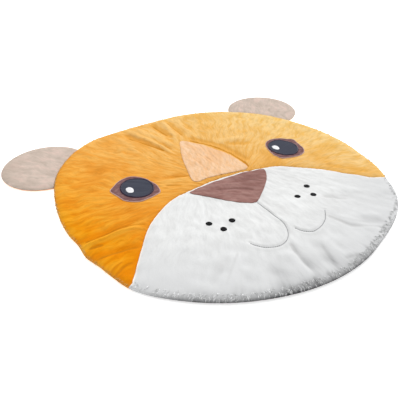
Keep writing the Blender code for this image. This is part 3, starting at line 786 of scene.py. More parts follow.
def muzzle_edge(above, chin, pull_in):
    """Reach of the muzzle's top from MUZZLE_CENTRE: the seam above, less pull_in, and the roll's start below."""
    angle, reach = seam_polar()
    top = np.interp(above, angle, reach) - pull_in
    top[[0, -1]] = ray_reach(above[[0, -1]], SIDE_START)
    return np.concatenate([top, ray_reach(chin, SIDE_START)])


def head_side(angles, start_height, sunk, rows):
    """The head's side under each ray, down to the floor, sunk along its normal by a cloth's thickness."""
    rise = ROLL_TOP - SEAM_HEIGHT
    side = rolled_side(SIDE_START, ROLL_DEPTH, rise, UNDER_DEPTH, SEAM_HEIGHT, SIDE_STEPS, UNDER_STEPS)
    height = side_heights(side, start_height, SEAM_HEIGHT)
    depth = np.full((len(side.inset), 1), sunk)
    depth[-1] = 0.0
    x, y = on_rays(angles, ray_reach(angles, side.inset + depth * np.sin(side.turn)))
    return stack(x, y, height - depth * np.cos(side.turn))[:rows]


def start_heights(angles, detail, sizes):
    """Height of the top where each ray's rolled side starts."""
    x, y = on_rays(angles, ray_reach(angles, SIDE_START))
    return pad_height(x, y, detail(x, y, sizes))


def hidden_detail(x, y, sizes):
    """The troughs alone of the white plush, for the faces that lie hidden under it."""
    return np.minimum(white_detail(x, y, sizes), 0.0)


def make_pad(sizes, finish):
    """The filled pad: forehead, the ground under the white plush, the rolled side and the flat underside."""
    above, chin = ray_angles(sizes)
    angles = np.concatenate([above, chin])
    edge = muzzle_edge(above, chin, 0.0)
    sunk = PLUSH + GAP
    rows = SIDE_STEPS + UNDER_STEPS + 1
    pad = Surface()
    shares = bunched(sizes.forehead_rings, 0.25)[:, None]
    x, y = on_rays(above, edge[: len(above)] * (1 - shares) + ray_reach(above, SIDE_START) * shares)
    forehead = stack(x, y, pad_height(x, y, orange_detail(x, y, sizes)))
    pad.add_grid(forehead, closed=False)
    rings = np.linspace(0.0, 1.0, GROUND_RINGS + 1)[:, None]
    x, y = on_rays(angles, rings * edge)
    lowered = sunk + GROUND_CLEARANCE * (1 - rings**4)
    ground = stack(x, y, pad_height(x, y, hidden_detail(x, y, sizes)) - lowered)
    ground[-1, : len(above), 2] = np.minimum(ground[-1, : len(above), 2], forehead[0, :, 2] - GAP)
    pad.add_grid(ground, closed=True)
    pad.add_grid(np.stack([forehead[0], ground[-1, : len(above)]]), closed=False)
    full = head_side(above, forehead[-1, :, 2], 0.0, rows)
    pad.add_grid(full, closed=False)
    below = np.concatenate([above[-1:], chin, above[:1] + 2 * math.pi])
    inset = head_side(below, start_heights(below, hidden_detail, sizes), sunk, rows)
    pad.add_grid(inset, closed=False)
    pad.add_grid(np.stack([full[:, -1], inset[:, 0]]), closed=False)
    pad.add_grid(np.stack([inset[:, -1], full[:, 0]]), closed=False)
    pad.add_ring_cap(np.concatenate([full[-1], inset[-1, 1:-1]]))
    return pad.build("head_pad", finish, sharp_deg=70.0)


def panel_rays(sizes):
    """The white plush's rays above and below its tips, and its reach along them, clear of the forehead."""
    above, chin = ray_angles(sizes)
    clear = SIDE_GAP / ray_reach(above[[0, -1]], SIDE_START)
    above[0] -= clear[0]
    above[-1] += clear[1]
    return above, chin, muzzle_edge(above, chin, SIDE_GAP)


def make_muzzle(sizes, finish):
    """The white sheet over the chin half: two faces, joined along the seam and under the rim."""
    above, chin, edge = panel_rays(sizes)
    angles = np.concatenate([above, chin])
    below = np.concatenate([above[-1:], chin, above[:1] + 2 * math.pi])
    rows = SIDE_STEPS + WRAPPED_UNDER_STEPS + 1
    shares = bunched(sizes.muzzle_rings, -0.25)[:, None]
    lip = np.array([0.0065, 0.0050, 0.0036, 0.0024, 0.0014, 0.0006, 0.0])[:, None]
    reach = np.vstack([shares * (edge - lip[0]), edge - lip[1:]])
    x, y = on_rays(angles, reach)
    outer = stack(x, y, pad_height(x, y, white_detail(x, y, sizes)))
    rings = np.linspace(0.0, 1.0, GROUND_RINGS + 1)[:, None]
    x, y = on_rays(angles, rings * edge)
    inner = stack(x, y, pad_height(x, y, hidden_detail(x, y, sizes)) - PLUSH)
    inner[-1, :, 2] = np.minimum(inner[-1, :, 2], outer[-1, :, 2] - GAP)
    outer_side = head_side(below, np.append(outer[-1, len(above) - 1 :, 2], outer[-1, 0, 2]), 0.0, rows)
    inner_side = head_side(below, start_heights(below, hidden_detail, sizes), PLUSH, rows)
    inner_side[0] = np.vstack([inner[-1, len(above) - 1 :], inner[-1, :1]])
    panel = Surface()
    panel.add_grid(outer, closed=True)
    panel.add_grid(inner, closed=True)
    panel.add_grid(outer_side, closed=False)
    panel.add_grid(inner_side, closed=False)
    panel.add_grid(np.stack([outer[-1, : len(above)], inner[-1, : len(above)]]), closed=False)
    panel.add_grid(np.stack([outer_side[-1], inner_side[-1]]), closed=False)
    panel.add_grid(np.stack([outer_side[:, 0], inner_side[:, 0]]), closed=False)
    panel.add_grid(np.stack([outer_side[:, -1], inner_side[:, -1]]), closed=False)
    return panel.build("muzzle_plush", finish, sharp_deg=70.0)


def middle_of(outline):
    """The point halfway between an outline's corners furthest apart along X and along Y."""
    return (outline.min(axis=0) + outline.max(axis=0)) / 2


def make_patch(name, outline, ground, lift, thickness, roll, rings, finish):
    """A flat piece: a sheet on rings from its middle to its outline, `lift` above the ground.

    Its top rolls down to the outline over `roll`, as a quarter ellipse of the thickness.
    """
    middle = middle_of(outline)
    spoke = outline - middle
    length = np.hypot(spoke[:, 0], spoke[:, 1])
    border = np.array([1.0, 0.72, 0.48, 0.28, 0.12, 0.03, 0.0])[:, None] * roll
    inner = np.linspace(0.0, 1.0, rings + 1)[:, None] * (1 - border[0] / length)
    reach = np.vstack([inner, 1 - border[1:] / length])
    x = middle[0] + reach * spoke[:, 0]
    y = middle[1] + reach * spoke[:, 1]
    height = ground(x, y) + lift
    edge = np.concatenate([np.ones(rings + 1), rounded(border[1:, 0], roll)])[:, None]
    sheet = Surface()
    sheet.add_grid(stack(x, y, height + thickness * (0.25 + 0.75 * edge)), closed=True)
    sheet.add_grid(stack(x, y, height), closed=True)
    rim = stack(x[-1], y[-1], height[-1])
    sheet.add_grid(np.stack([rim + (0.0, 0.0, 0.25 * thickness), rim]), closed=True)
    return sheet.build(name, finish, sharp_deg=60.0)


def ribbon(name, line, ground, lift, half_width, rise, stitch, finish, closed=True):
    """A satin border: a low half-round profile carried along a line in plan, ribbed by slanting stitches."""
    step = np.linalg.norm(np.diff(np.vstack([line, line[:1]]) if closed else line, axis=0), axis=1)
    along = np.concatenate([[0.0], np.cumsum(step)])
    count = int(along[-1] / stitch * 3)
    at = np.linspace(0.0, along[-1], count, endpoint=not closed)
    loop = np.vstack([line, line[:1]]) if closed else line
    path = np.stack([np.interp(at, along, loop[:, k]) for k in range(2)], axis=-1)
    if closed:
        run = np.roll(path, -1, axis=0) - np.roll(path, 1, axis=0)
    else:
        run = np.gradient(path, axis=0)
    run /= np.hypot(run[:, 0], run[:, 1])[:, None]
    turn = np.linspace(0.0, math.pi, 9)[:, None]
    across = half_width * np.cos(turn)
    x = path[:, 0] - run[:, 1] * across
    y = path[:, 1] + run[:, 0] * across
    rib = 1 + 0.16 * np.cos(2 * math.pi * (at / stitch + 0.6 * np.cos(turn)))
    base = ground(x, y) + lift
    top = stack(x, y, base + rise * np.sin(turn) * rib + 0.0002)
    bottom = stack(x, y, base)
    border = Surface()
    border.add_grid(top, closed)
    border.add_grid(bottom, closed)
    border.add_grid(np.stack([top[0], bottom[0]]), closed)
    border.add_grid(np.stack([top[-1], bottom[-1]]), closed)
    if not closed:
        border.add_grid(np.stack([top[:, 0], bottom[:, 0]]), False)
        border.add_grid(np.stack([top[:, -1], bottom[:, -1]]), False)
    return border.build(name, finish)


def satin_dome(name, middle, radii, ground, lift, rise, finish):
    """A satin-stitched oval: a flat dome on a ring grid, ribbed by parallel threads."""
    turn = np.linspace(0.0, 2 * math.pi, 56, endpoint=False)
    reach = np.linspace(0.0, 1.0, 16)[:, None]
    x = middle[0] + radii[0] * reach * np.cos(turn)
    y = middle[1] + radii[1] * reach * np.sin(turn)
    threads = np.cos(2 * math.pi * (0.8 * x + 0.6 * y) / 0.0016)
    height = ground(x, y) + lift
    dome = rise * (np.sqrt(1 - 0.97 * reach**4) + 0.10 * threads * (1 - reach**6))
    oval = Surface()
    oval.add_grid(stack(x, y, height + dome), closed=True)
    oval.add_grid(stack(x, y, height), closed=True)
    rim = stack(x[-1], y[-1], height[-1])
    oval.add_grid(np.stack([rim + (0.0, 0.0, float(dome[-1].min())), rim]), closed=True)
    return oval.build(name, finish)


def ellipse(middle, radii, sides):
    """Points of an ellipse in plan."""
    turn = np.arange(sides) * (2 * math.pi / sides)
    return np.stack([middle[0] + radii[0] * np.cos(turn), middle[1] + radii[1] * np.sin(turn)], axis=-1)


def turned(points, degrees):
    """Points turned about the origin in plan."""
    angle = math.radians(degrees)
    turn = np.array([[math.cos(angle), -math.sin(angle)], [math.sin(angle), math.cos(angle)]])
    return np.asarray(points, float) @ turn.T


def thread_run(name, lines, ground, radius, stitch, gap, finish):
    """Running stitches along lines in plan: each is a thread with rounded ends, arched over the cloth."""
    run = Surface()
    turn = np.linspace(0.0, 2 * math.pi, 8, endpoint=False)[:, None]
    for points in lines:
        line = smooth_curve(points, 12, closed=False)
        step = np.linalg.norm(np.diff(line, axis=0), axis=1)
        along = np.concatenate([[0.0], np.cumsum(step)])
        for first in np.arange(0.0, along[-1] - stitch, stitch + gap):
            share = np.linspace(0.0, 1.0, 9)
            at = first + share * stitch
            path = np.stack([np.interp(at, along, line[:, k]) for k in range(2)], axis=-1)
            heading = np.gradient(path, axis=0)
            heading /= np.hypot(heading[:, 0], heading[:, 1])[:, None]
            thick = radius * np.sqrt(np.clip(1 - (2 * share - 1) ** 6, 0.0, 1.0)) + radius * 0.02
            middle = ground(path[:, 0], path[:, 1]) + radius * (0.35 + 0.5 * np.sin(math.pi * share))
            x = path[:, 0] - heading[:, 1] * np.cos(turn) * thick
            y = path[:, 1] + heading[:, 0] * np.cos(turn) * thick
            tube = stack(x, y, middle + np.sin(turn) * thick)
            run.add_grid(np.swapaxes(tube, 0, 1), closed=True)
            run.add_ring_cap(tube[:, 0])
            run.add_ring_cap(tube[:, -1])
    return run.build(name, finish)


class EarShape(NamedTuple):
    """An ear's plan about a middle point, and the height of its side seam on each ray."""

    middle: np.ndarray
    direction: np.ndarray
    reach: np.ndarray
    seam_height: np.ndarray


def ear_shape(row):
    """Work out an ear: a disc cut by the head's outline, its seam rising to the head's where it is sewn in."""
    head = np.array(HEAD_CENTRE)
    disc = np.array([row.x, row.y])
    away = (disc - head) / np.linalg.norm(disc - head)
    middle = disc + EAR_PUSH_OUT * away
    angles = math.atan2(away[1], away[0]) + np.linspace(-math.pi, math.pi, EAR_SIDES, endpoint=False)
    direction = np.stack([np.cos(angles), np.sin(angles)], axis=-1)
    in_disc = ear_reach(row, middle, direction, False)
    reach = ear_reach(row, middle, direction, True)
    sewn_in = smooth_step((in_disc - reach) / EAR_BLEND)
    seam_height = EAR_SEAM_HEIGHT + (SEAM_HEIGHT - EAR_SEAM_HEIGHT) * sewn_in
    return EarShape(middle, direction, reach, seam_height)


def ear_reach(row, middle, direction, cut_by_head):
    """Reach of each ray inside the ear's disc and, if asked, clear of the head. Halves an interval."""
    near = np.zeros(len(direction))
    far = np.full(len(direction), 2 * row.radius)
    for _ in range(HALVINGS):
        reach = (near + far) / 2
        place = middle + reach[:, None] * direction
        kept = np.hypot(place[:, 0] - row.x, place[:, 1] - row.y) < row.radius
        if cut_by_head:
            kept &= inset_from_outline(place[:, 0], place[:, 1]) < -SIDE_GAP
        near = np.where(kept, reach, near)
        far = np.where(kept, far, reach)
    return near


def ear_rings(ear, sunk, rows, relief):
    """An ear's top and side: rings from its middle, then the rolled side from there to the floor."""
    rise = EAR_TOP - ear.seam_height
    side = rolled_side(
        EAR_ROLL_DEPTH, EAR_ROLL_DEPTH, rise, EAR_UNDER_DEPTH, ear.seam_height, EAR_SIDE_STEPS, EAR_UNDER_STEPS
    )
    turn = np.minimum(side.turn, EAR_STEEPEST_TURN)
    depth = np.full((len(side.inset), 1), sunk)
    depth[EAR_SIDE_STEPS + 1 :] = 0.0
    rolled = ear.reach - side.inset - depth * np.sin(turn)
    height = side_heights(side, EAR_TOP, ear.seam_height) - depth * np.cos(turn)
    flat = np.linspace(0.0, 1.0, EAR_RINGS, endpoint=False)[:, None] * rolled[0]
    reach = np.concatenate([flat, rolled])[:rows]
    height = np.concatenate([np.broadcast_to(height[:1], flat.shape), height])[:rows]
    plan = ear.middle + reach[..., None] * ear.direction
    inset = ear.reach - reach
    shaped = relief(plan[..., 0], plan[..., 1]) * smooth_step(inset / EAR_ROLL_DEPTH)
    return stack(plan[..., 0], plan[..., 1], height + shaped)


def make_ear(row, orange, greige):
    """An ear: the filled pad with its orange back, and the plush face over it down to the side seam."""
    ear = ear_shape(row)
    seam_rows = EAR_RINGS + EAR_SIDE_STEPS + 1
    all_rows = seam_rows + EAR_UNDER_STEPS

    def relief(x, y):
        """Creases and unevenness of this ear's plush."""
        return fold_rise(x, y, EAR_CREASES[row.side]) + waves(x, y, 41, 14, 0.02, 0.09) * 0.00035

    sunk = ear_rings(ear, EAR_PLUSH + EAR_GAP, all_rows, relief)
    pad = Surface()
    pad.add_grid(sunk, closed=True)
    pad.add_ring_cap(sunk[-1])
    filled = pad.build(f"ear_pad_{row.side}", orange, sharp_deg=70.0)
    outer = ear_rings(ear, 0.0, seam_rows, relief)
    inner = ear_rings(ear, EAR_PLUSH, seam_rows, relief)
    face = Surface()
    face.add_grid(outer, closed=True)
    face.add_grid(inner, closed=True)
    face.add_grid(np.stack([outer[-1], inner[-1]]), closed=True)
    return filled, face.build(f"ear_plush_{row.side}", greige, sharp_deg=70.0)


def rim_surface(angles, inset, detail, sizes):
    """Points of a plush at an inset from the outline along each ray, on its top or rolled side."""
    x, y = on_rays(angles, ray_reach(angles, inset))
    top = pad_height(x, y, detail(x, y, sizes))
    start = start_heights(angles, detail, sizes)
    share = rounded(inset, ROLL_DEPTH) / rounded(SIDE_START, ROLL_DEPTH)
    rolled = SEAM_HEIGHT + share * (start - SEAM_HEIGHT)
    return stack(x, y, np.where(inset < SIDE_START, rolled, top))


class TuftRow(NamedTuple):
    """How tufts stand on a rim: their seed, cones in each, insets of their roots, length, lift and lean."""

    seed: int
    each: int
    nearest: float
    farthest: float
    length: float
    lift: float
    lean: float


WHITE_TUFTS = TuftRow(3, 6, 0.0040, 0.020, 0.9, 0.02, 0.30)
ORANGE_TUFTS = TuftRow(9, 6, 0.0, 0.005, 0.45, 0.30, 0.45)


def make_rim_pile(name, rays, detail, row, sizes, finish):
    """Tufts of pile along a rim: slender bent cones in clumps, combed out and down."""
    rng = np.random.default_rng(row.seed)
    tufts = sizes.rim_tufts
    count = tufts * row.each
    middle = np.repeat(rng.uniform(rays[0], rays[-1], tufts), row.each)
    angle = np.clip(middle + rng.normal(0.0, 0.0035, count), rays[0], rays[-1])
    depth = row.nearest + (row.farthest - row.nearest) * rng.random(tufts)
    inset = np.maximum(np.repeat(depth, row.each) + rng.normal(0.0, 0.0012, count), 0.0004)
    root = rim_surface(angle, inset, detail, sizes)
    ahead = rim_surface(angle, np.maximum(inset - 0.002, 0.0), detail, sizes) - root
    ahead /= np.linalg.norm(ahead, axis=1)[:, None]
    sideways = np.stack([-np.sin(angle), np.cos(angle), np.zeros(count)], axis=-1)
    outward = np.cross(sideways, ahead)
    outward *= np.where(outward[:, 2:] < 0.0, -1.0, 1.0)
    length = row.length * sizes.pile_length * rng.uniform(0.6, 1.2, count)[:, None]
    lean = np.repeat(rng.normal(0.0, row.lean, tufts), row.each)[:, None] + rng.normal(0.0, 0.12, count)[:, None]
    knee = root + length * (0.50 * ahead + (0.08 + row.lift) * outward + 0.4 * lean * sideways)
    tip = knee + length * (0.50 * ahead + (row.lift - 0.08) * outward + 0.5 * lean * sideways)
    root -= PILE_THICKNESS * outward
    for points in (root, knee, tip):
        points[:, 2] = np.maximum(points[:, 2], PILE_LOWEST)
    thick = PILE_THICKNESS * rng.uniform(0.7, 1.3, count)[:, None]
    return hair_mesh(name, root, knee, tip, thick, sideways, outward, finish)


def hair_mesh(name, root, knee, tip, thick, sideways, outward, finish):
    """Bent three-sided cones, all in one mesh: a ring of three at the root, another at the knee, and a tip."""
    turn = np.arange(3) * (2 * math.pi / 3)
    ring = sideways[:, None] * np.cos(turn)[None, :, None] + outward[:, None] * np.sin(turn)[None, :, None]
    first = root[:, None] + ring * thick[:, None]
    second = knee[:, None] + ring * thick[:, None] * 0.7
    points = np.concatenate([first, second, tip[:, None]], axis=1)
    start = np.arange(len(root))[:, None, None] * 7
    sides = np.array([[0, 1, 4, 3], [1, 2, 5, 4], [2, 0, 3, 5]])[None] + start
    ends = np.array([[3, 4, 6], [4, 5, 6], [5, 3, 6], [2, 1, 0]])[None] + start
    mesh = bpy.data.meshes.new(name)
    faces = sides.reshape(-1, 4).tolist() + ends.reshape(-1, 3).tolist()
    mesh.from_pydata(points.reshape(-1, 3).tolist(), [], faces)
    work = bmesh.new()
    work.from_mesh(mesh)
    bmesh.ops.recalc_face_normals(work, faces=work.faces)
    work.to_mesh(mesh)
    work.free()
    mesh.materials.append(finish)
    mesh.shade_smooth()
    obj = bpy.data.objects.new(name, mesh)
    bpy.context.scene.collection.objects.link(obj)
    return obj


class Signal:
    """A shader socket that Python expressions can use: an operator on it adds the Math node for it."""

    def __init__(self, graph, socket):
        self.graph = graph
        self.socket = socket

    def maths(self, operation, first, second):
        """Add one Math node."""
        return self.graph.node("ShaderNodeMath", {"operation": operation}, {0: first, 1: second})

    def __add__(self, other):
        return self.maths("ADD", self, other)

    __radd__ = __add__

    def __sub__(self, other):
        return self.maths("SUBTRACT", self, other)

    def __rsub__(self, other):
        return self.maths("SUBTRACT", other, self)

    def __mul__(self, other):
        return self.maths("MULTIPLY", self, other)

    __rmul__ = __mul__

    def __pow__(self, other):
        return self.maths("POWER", self, other)


class Finish:
    """One material: a Principled shader and the nodes that feed it."""

    def __init__(self, name):
        self.material = bpy.data.materials.new(name)
        self.material.use_nodes = True
        self.tree = self.material.node_tree
        self.shader = self.tree.nodes["Principled BSDF"]

    def node(self, kind, settings, sockets, output=0):
        """Add a node: its settings first, with a ramp's stops as (place, colour), then its sockets."""
        made = self.tree.nodes.new(kind)
        for key, value in settings.items():
            if key == "stops":
                self.set_stops(made.color_ramp, value)
            else:
                setattr(made, key, value)
        for key, value in sockets.items():
            self.feed(made.inputs[key], value)
        return Signal(self, made.outputs[output])

    def set_stops(self, ramp, stops):
        """Give a ramp its stops."""
        while len(ramp.elements) < len(stops):
            ramp.elements.new(0.5)
        for element, (place, colour) in zip(ramp.elements, stops):
            element.position = place
            element.color = colour

    def feed(self, socket, value):
        """Link a signal to a socket, or set a constant on it."""
        if isinstance(value, Signal):
            self.tree.links.new(value.socket, socket)
        else:
            socket.default_value = value

    def place(self):
        """Object coordinates, in metres."""
        return self.node("ShaderNodeTexCoord", {}, {}, output=3)

    def painted(self, name):
        """A number painted on the mesh's points."""
        return self.node("ShaderNodeAttribute", {"attribute_name": name}, {}, output=2)

    def painted_vector(self, name):
        """A vector painted on the mesh's points."""
        return self.node("ShaderNodeAttribute", {"attribute_name": name}, {}, output=1)

    def stretched(self, vector, scale):
        """A vector times a scale for each axis."""
        return self.node("ShaderNodeVectorMath", {"operation": "MULTIPLY"}, {0: vector, 1: scale})

    def shifted(self, vector, colour, amount):
        """A vector pushed about by a noise's colour, for streaks that bend."""
        centred = self.node("ShaderNodeVectorMath", {"operation": "SUBTRACT"}, {0: colour, 1: (0.5, 0.5, 0.5)})
        pushed = self.node("ShaderNodeVectorMath", {"operation": "SCALE"}, {0: centred, "Scale": amount})
        return self.node("ShaderNodeVectorMath", {"operation": "ADD"}, {0: vector, 1: pushed})

    def noise(self, vector, scale, detail, roughness=0.5, output=0):
        """Noise from 0 to 1."""
        sockets = {"Vector": vector, "Scale": scale, "Detail": detail, "Roughness": roughness}
        return self.node("ShaderNodeTexNoise", {}, sockets, output=output)

    def stepped(self, value, low, high):
        """0 below low, 1 above high, smooth between."""
        settings = {"interpolation_type": "SMOOTHSTEP"}
        return self.node("ShaderNodeMapRange", settings, {0: value, 1: low, 2: high, 3: 0.0, 4: 1.0})

    def mix(self, factor, first, second, blend="MIX"):
        """Two colours mixed."""
        settings = {"data_type": "RGBA", "blend_type": blend}
        return self.node("ShaderNodeMix", settings, {0: factor, 6: first, 7: second}, output=2)

    def bump(self, height, distance, strength=1.0, under=None):
        """A Bump node on a height from 0 to 1, over another bump if there is one."""
        sockets = {"Height": height, "Distance": distance, "Strength": strength}
        if under is not None:
            sockets["Normal"] = under
        return self.node("ShaderNodeBump", {}, sockets)

    def finish(self, colour, roughness, normal=None, **constants):
        """Feed the shader, and set what is the same all over on its own sockets."""
        self.feed(self.shader.inputs["Base Color"], colour)
        self.feed(self.shader.inputs["Roughness"], roughness)
        if normal is not None:
            self.feed(self.shader.inputs["Normal"], normal)
        for name, value in constants.items():
            self.shader.inputs[name.replace("_", " ")].default_value = value
        return self.material


class PileRow(NamedTuple):
    """How a plush is brushed.

    across and along are the strokes' counts a metre, bend how far they wander, deep and pale how
    strongly the two tones show in them, relief the height of the pile's bumps, and sheen its bloom.
    """

    across: float
    along: float
    bend: float
    deep: float
    pale: float
    relief: float
    sheen: float


ORANGE_PILE = PileRow(80.0, 13.0, 0.055, 0.75, 0.55, 0.0014, 0.05)
WHITE_PILE = PileRow(42.0, 16.0, 0.070, 0.35, 0.45, 0.0008, 0.0)
PATCH_PILE = PileRow(60.0, 18.0, 0.050, 0.60, 0.60, 0.0008, 0.0)
EYE_CLOTH_PILE = PileRow(110.0, 60.0, 0.010, 0.35, 0.20, 0.0004, 0.0)
EAR_PILE = PileRow(45.0, 14.0, 0.060, 0.55, 0.60, 0.0010, 0.0)
ORANGE_BLOOM = (1.0, 0.55, 0.10, 1.0)


def pile_dark(pile):
    """Factor between the wisps of a pile."""
    shade = 1.0 - 0.16 * pile.deep
    return (shade, shade, shade, 1.0)


def pile_light(pile):
    """Factor on the wisps of a pile."""
    shade = 1.0 + 0.07 * pile.pale
    return (shade, shade, shade, 1.0)


class Tones(NamedTuple):
    """A plush's own colour, its darker and paler tones, which are also painted shade in its troughs and painted light
    on its ridges, and the painted shade deep in a crease.
    """

    base: object
    deep: object
    pale: object
    core: object


def brushed(cloth, tones, pile):
    """Brushed plush: strokes along the nap in two tones, with painted shade in troughs and creases and painted light
    on ridges.
    """
    nap = cloth.painted_vector("nap")
    place = cloth.place()
    bend = cloth.noise(place, 9.0, 2.0, output=1)
    combed = cloth.shifted(nap, bend, pile.bend)
    strokes = cloth.noise(cloth.stretched(combed, (pile.across, pile.along, 0.0)), 1.0, 3.0, 0.6)
    fibres = cloth.noise(cloth.stretched(combed, (430.0, 110.0, 300.0)), 1.0, 2.0, 0.6)
    patches = cloth.noise(place, 8.0, 3.0, 0.55)
    fold = cloth.painted("fold")
    tone = cloth.mix(cloth.stepped(strokes, 0.45, 0.68) * pile.pale, tones.base, tones.pale)
    tone = cloth.mix(cloth.stepped(1.0 - strokes, 0.45, 0.68) * pile.deep, tone, tones.deep)
    tone = cloth.mix(cloth.stepped(patches, 0.48, 0.70) * pile.deep, tone, tones.deep)
    # Painted shade in the folds' troughs and painted light on their ridges, then painted shade deep in the creases
    tone = cloth.mix(cloth.stepped(-1.0 * fold, 0.05, 1.0) * 0.85, tone, tones.deep)
    tone = cloth.mix(cloth.stepped(fold, 0.05, 1.0) * 0.60, tone, tones.pale)
    tone = cloth.mix(cloth.stepped(cloth.painted("crease"), 0.25, 1.0) * 0.75, tone, tones.core)
    wisps = cloth.noise(cloth.stretched(combed, (pile.across * 2.6, pile.along * 2.2, 0.0)), 1.0, 2.0, 0.6)
    grain = cloth.mix(cloth.stepped(wisps * 0.7 + fibres * 0.3, 0.32, 0.62), pile_dark(pile), pile_light(pile))
    tone = cloth.mix(1.0, tone, grain, blend="MULTIPLY")
    crumb = cloth.noise(place, 380.0, 2.0, 0.7)
    raised = cloth.bump(fibres * 0.5 + strokes * 0.4 + crumb * 0.4, pile.relief)
    return tone, raised


def orange_plush(colours):
    """The orange plush: painted light, deep on the left and paler towards the right, painted shade along the seam,
    and brown along its rim.
    """
    cloth = Finish("orange_plush_pile")
    place = cloth.place()
    x = cloth.node("ShaderNodeSeparateXYZ", {}, {0: place}, output=0)
    y = cloth.node("ShaderNodeSeparateXYZ", {}, {0: place}, output=1)
    # Painted light and sheen: paler towards the right and the forehead, deeper to the left
    far = x * 0.95 + y * 0.40 + 0.44
    tones = Tones(
        cloth.mix(far, colours.orange, colours.orange_painted_light),
        cloth.mix(far, colours.orange_deep, colours.orange_painted_light_deep),
        cloth.mix(far, colours.orange_pale, colours.orange_painted_light_pale),
        colours.orange_crease_shade,
    )
    tone, raised = brushed(cloth, tones, ORANGE_PILE)
    # Painted shade along the seam, reaching wider on the left
    tone = cloth.mix(cloth.painted("seam"), tone, tones.deep)
    tone = cloth.mix(cloth.painted("rim") * 0.7, tone, colours.orange_rim)
    constants = {
        "Sheen_Weight": ORANGE_PILE.sheen,
        "Sheen_Tint": ORANGE_BLOOM,
        "Specular_IOR_Level": 0.05,
        "Specular_Tint": ORANGE_BLOOM,
    }
    return cloth.finish(tone, 0.95, raised, **constants)


def white_plush(colours):
    """The white plush: a bright edge along the seam, painted shade that greys it towards the chin's rim, and dark
    painted shade where it turns under.
    """
    cloth = Finish("white_plush_pile")
    tones = Tones(colours.white, colours.white_shade, colours.white_light, colours.white_crease_shade)
    tone, raised = brushed(cloth, tones, WHITE_PILE)
    # Painted shade greying the plush towards the chin's rim
    tone = cloth.mix(cloth.painted("lee"), tone, colours.white_chin_painted_shade)
    tone = cloth.mix(cloth.painted("lip"), tone, colours.seam_edge)
    # Painted shade, ragged along the nap, where the rim turns under
    ragged = cloth.noise(cloth.stretched(cloth.painted_vector("nap"), (240.0, 60.0, 60.0)), 1.0, 3.0, 0.7)
    tone = cloth.mix(cloth.painted("under") * (ragged * 0.8 + 0.62), tone, colours.under_rim_painted_shade)
    return cloth.finish(tone, 0.95, raised, Specular_IOR_Level=0.08)


def plain_plush(name, tones, pile):
    """A patch's or an ear's short plush."""
    cloth = Finish(name)
    tone, raised = brushed(cloth, tones, pile)
    return cloth.finish(tone, 0.90, raised, Sheen_Weight=pile.sheen, Specular_IOR_Level=0.1)


def satin(name, base, roughness, gloss=0.25):
    """Stitched thread: fine parallel strands, a little gloss."""
    thread = Finish(name)
    strands = thread.noise(thread.stretched(thread.place(), (700.0, 420.0, 0.0)), 1.0, 2.0, 0.5)
    light = tuple(min(c * 1.2, 1.0) for c in base[:3]) + (1.0,)
    dark = tuple(c * 0.75 for c in base[:3]) + (1.0,)
    raised = thread.bump(strands, 0.0004)
    return thread.finish(thread.mix(strands, dark, light), roughness, raised, Specular_IOR_Level=gloss)


def paint_plush(obj, nap, soft, sharp=()):
    """Paint what a plush material reads: its nap, and how deep or high each point lies in the folds, which it turns
    into painted shade and painted light.

    nap is a NapRow, or a heading in degrees where the pile lies one way.
    """
    at = places(obj)
    if isinstance(nap, NapRow):
        paint_nap(obj, *nap_place(at[:, 0], at[:, 1], nap))
    else:
        along, across = turned(at[:, :2], -nap).T
        paint_nap(obj, across, along)
    paint(obj, "fold", np.clip(fold_rise(at[:, 0], at[:, 1], soft + sharp) / 0.0024, -1.0, 1.0))
    paint(obj, "crease", np.clip(-fold_rise(at[:, 0], at[:, 1], sharp) / 0.0018, 0.0, 1.0))


def dress(obj, slot_name, *nodes):
    """Let a piece ride on the mat and stand for its solids; its slot name is not used."""
    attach(obj, "root")
    if nodes:
        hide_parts(*nodes)
    return obj


def sized(description, default, low, high, unit="LENGTH", precision=5):
    """A size property."""
    kinds = {"description": description, "default": default, "min": low, "max": high}
    if unit:
        return {**kinds, "unit": unit, "precision": precision}
    return kinds


class PlayMatSizes(bpy.types.PropertyGroup):
    """Sizes that a user may change before building."""

    crease_depth: bpy.props.FloatProperty(
        name="Crease Depth", description="Factor on the sharp creases of the plush", default=1.0, min=0.0, max=2.0
    )
    pucker_depth: bpy.props.FloatProperty(
        name="Pucker Depth", description="Factor on the puckers along the seams", default=1.0, min=0.0, max=2.0
    )
    ray_step: bpy.props.FloatProperty(
        name="Ray Step", description="Degrees between the rays that the pad is cut on", default=0.42, min=0.3, max=4.0
    )
    forehead_rings: bpy.props.IntProperty(
        name="Forehead Rings", description="Rings from the muzzle seam to the rim", default=118, min=12, max=200
    )
    muzzle_rings: bpy.props.IntProperty(
        name="Muzzle Rings", description="Rings from the muzzle's middle to its edge", default=92, min=12, max=200
    )
    rim_tufts: bpy.props.IntProperty(
        name="Rim Tufts", description="Tufts of pile along each plush's rim", default=360, min=0, max=4000
    )
    pile_length: bpy.props.FloatProperty(
        name="Pile Length", description="Length of the pile over the rim", default=0.009, min=0.001, max=0.02,
        unit="LENGTH",
    )
    thread_radius: bpy.props.FloatProperty(
        name="Thread Radius", description="Radius of the mouth's thread", default=0.0009, min=0.0002, max=0.003,
        unit="LENGTH",
    )


def colour(name, description, red, green, blue):
    """A colour property, linear."""
    return bpy.props.FloatVectorProperty(
        name=name,
        description=description,
        default=(red, green, blue, 1.0),
        size=4,
        min=0.0,
        max=1.0,
        subtype="COLOR",
    )


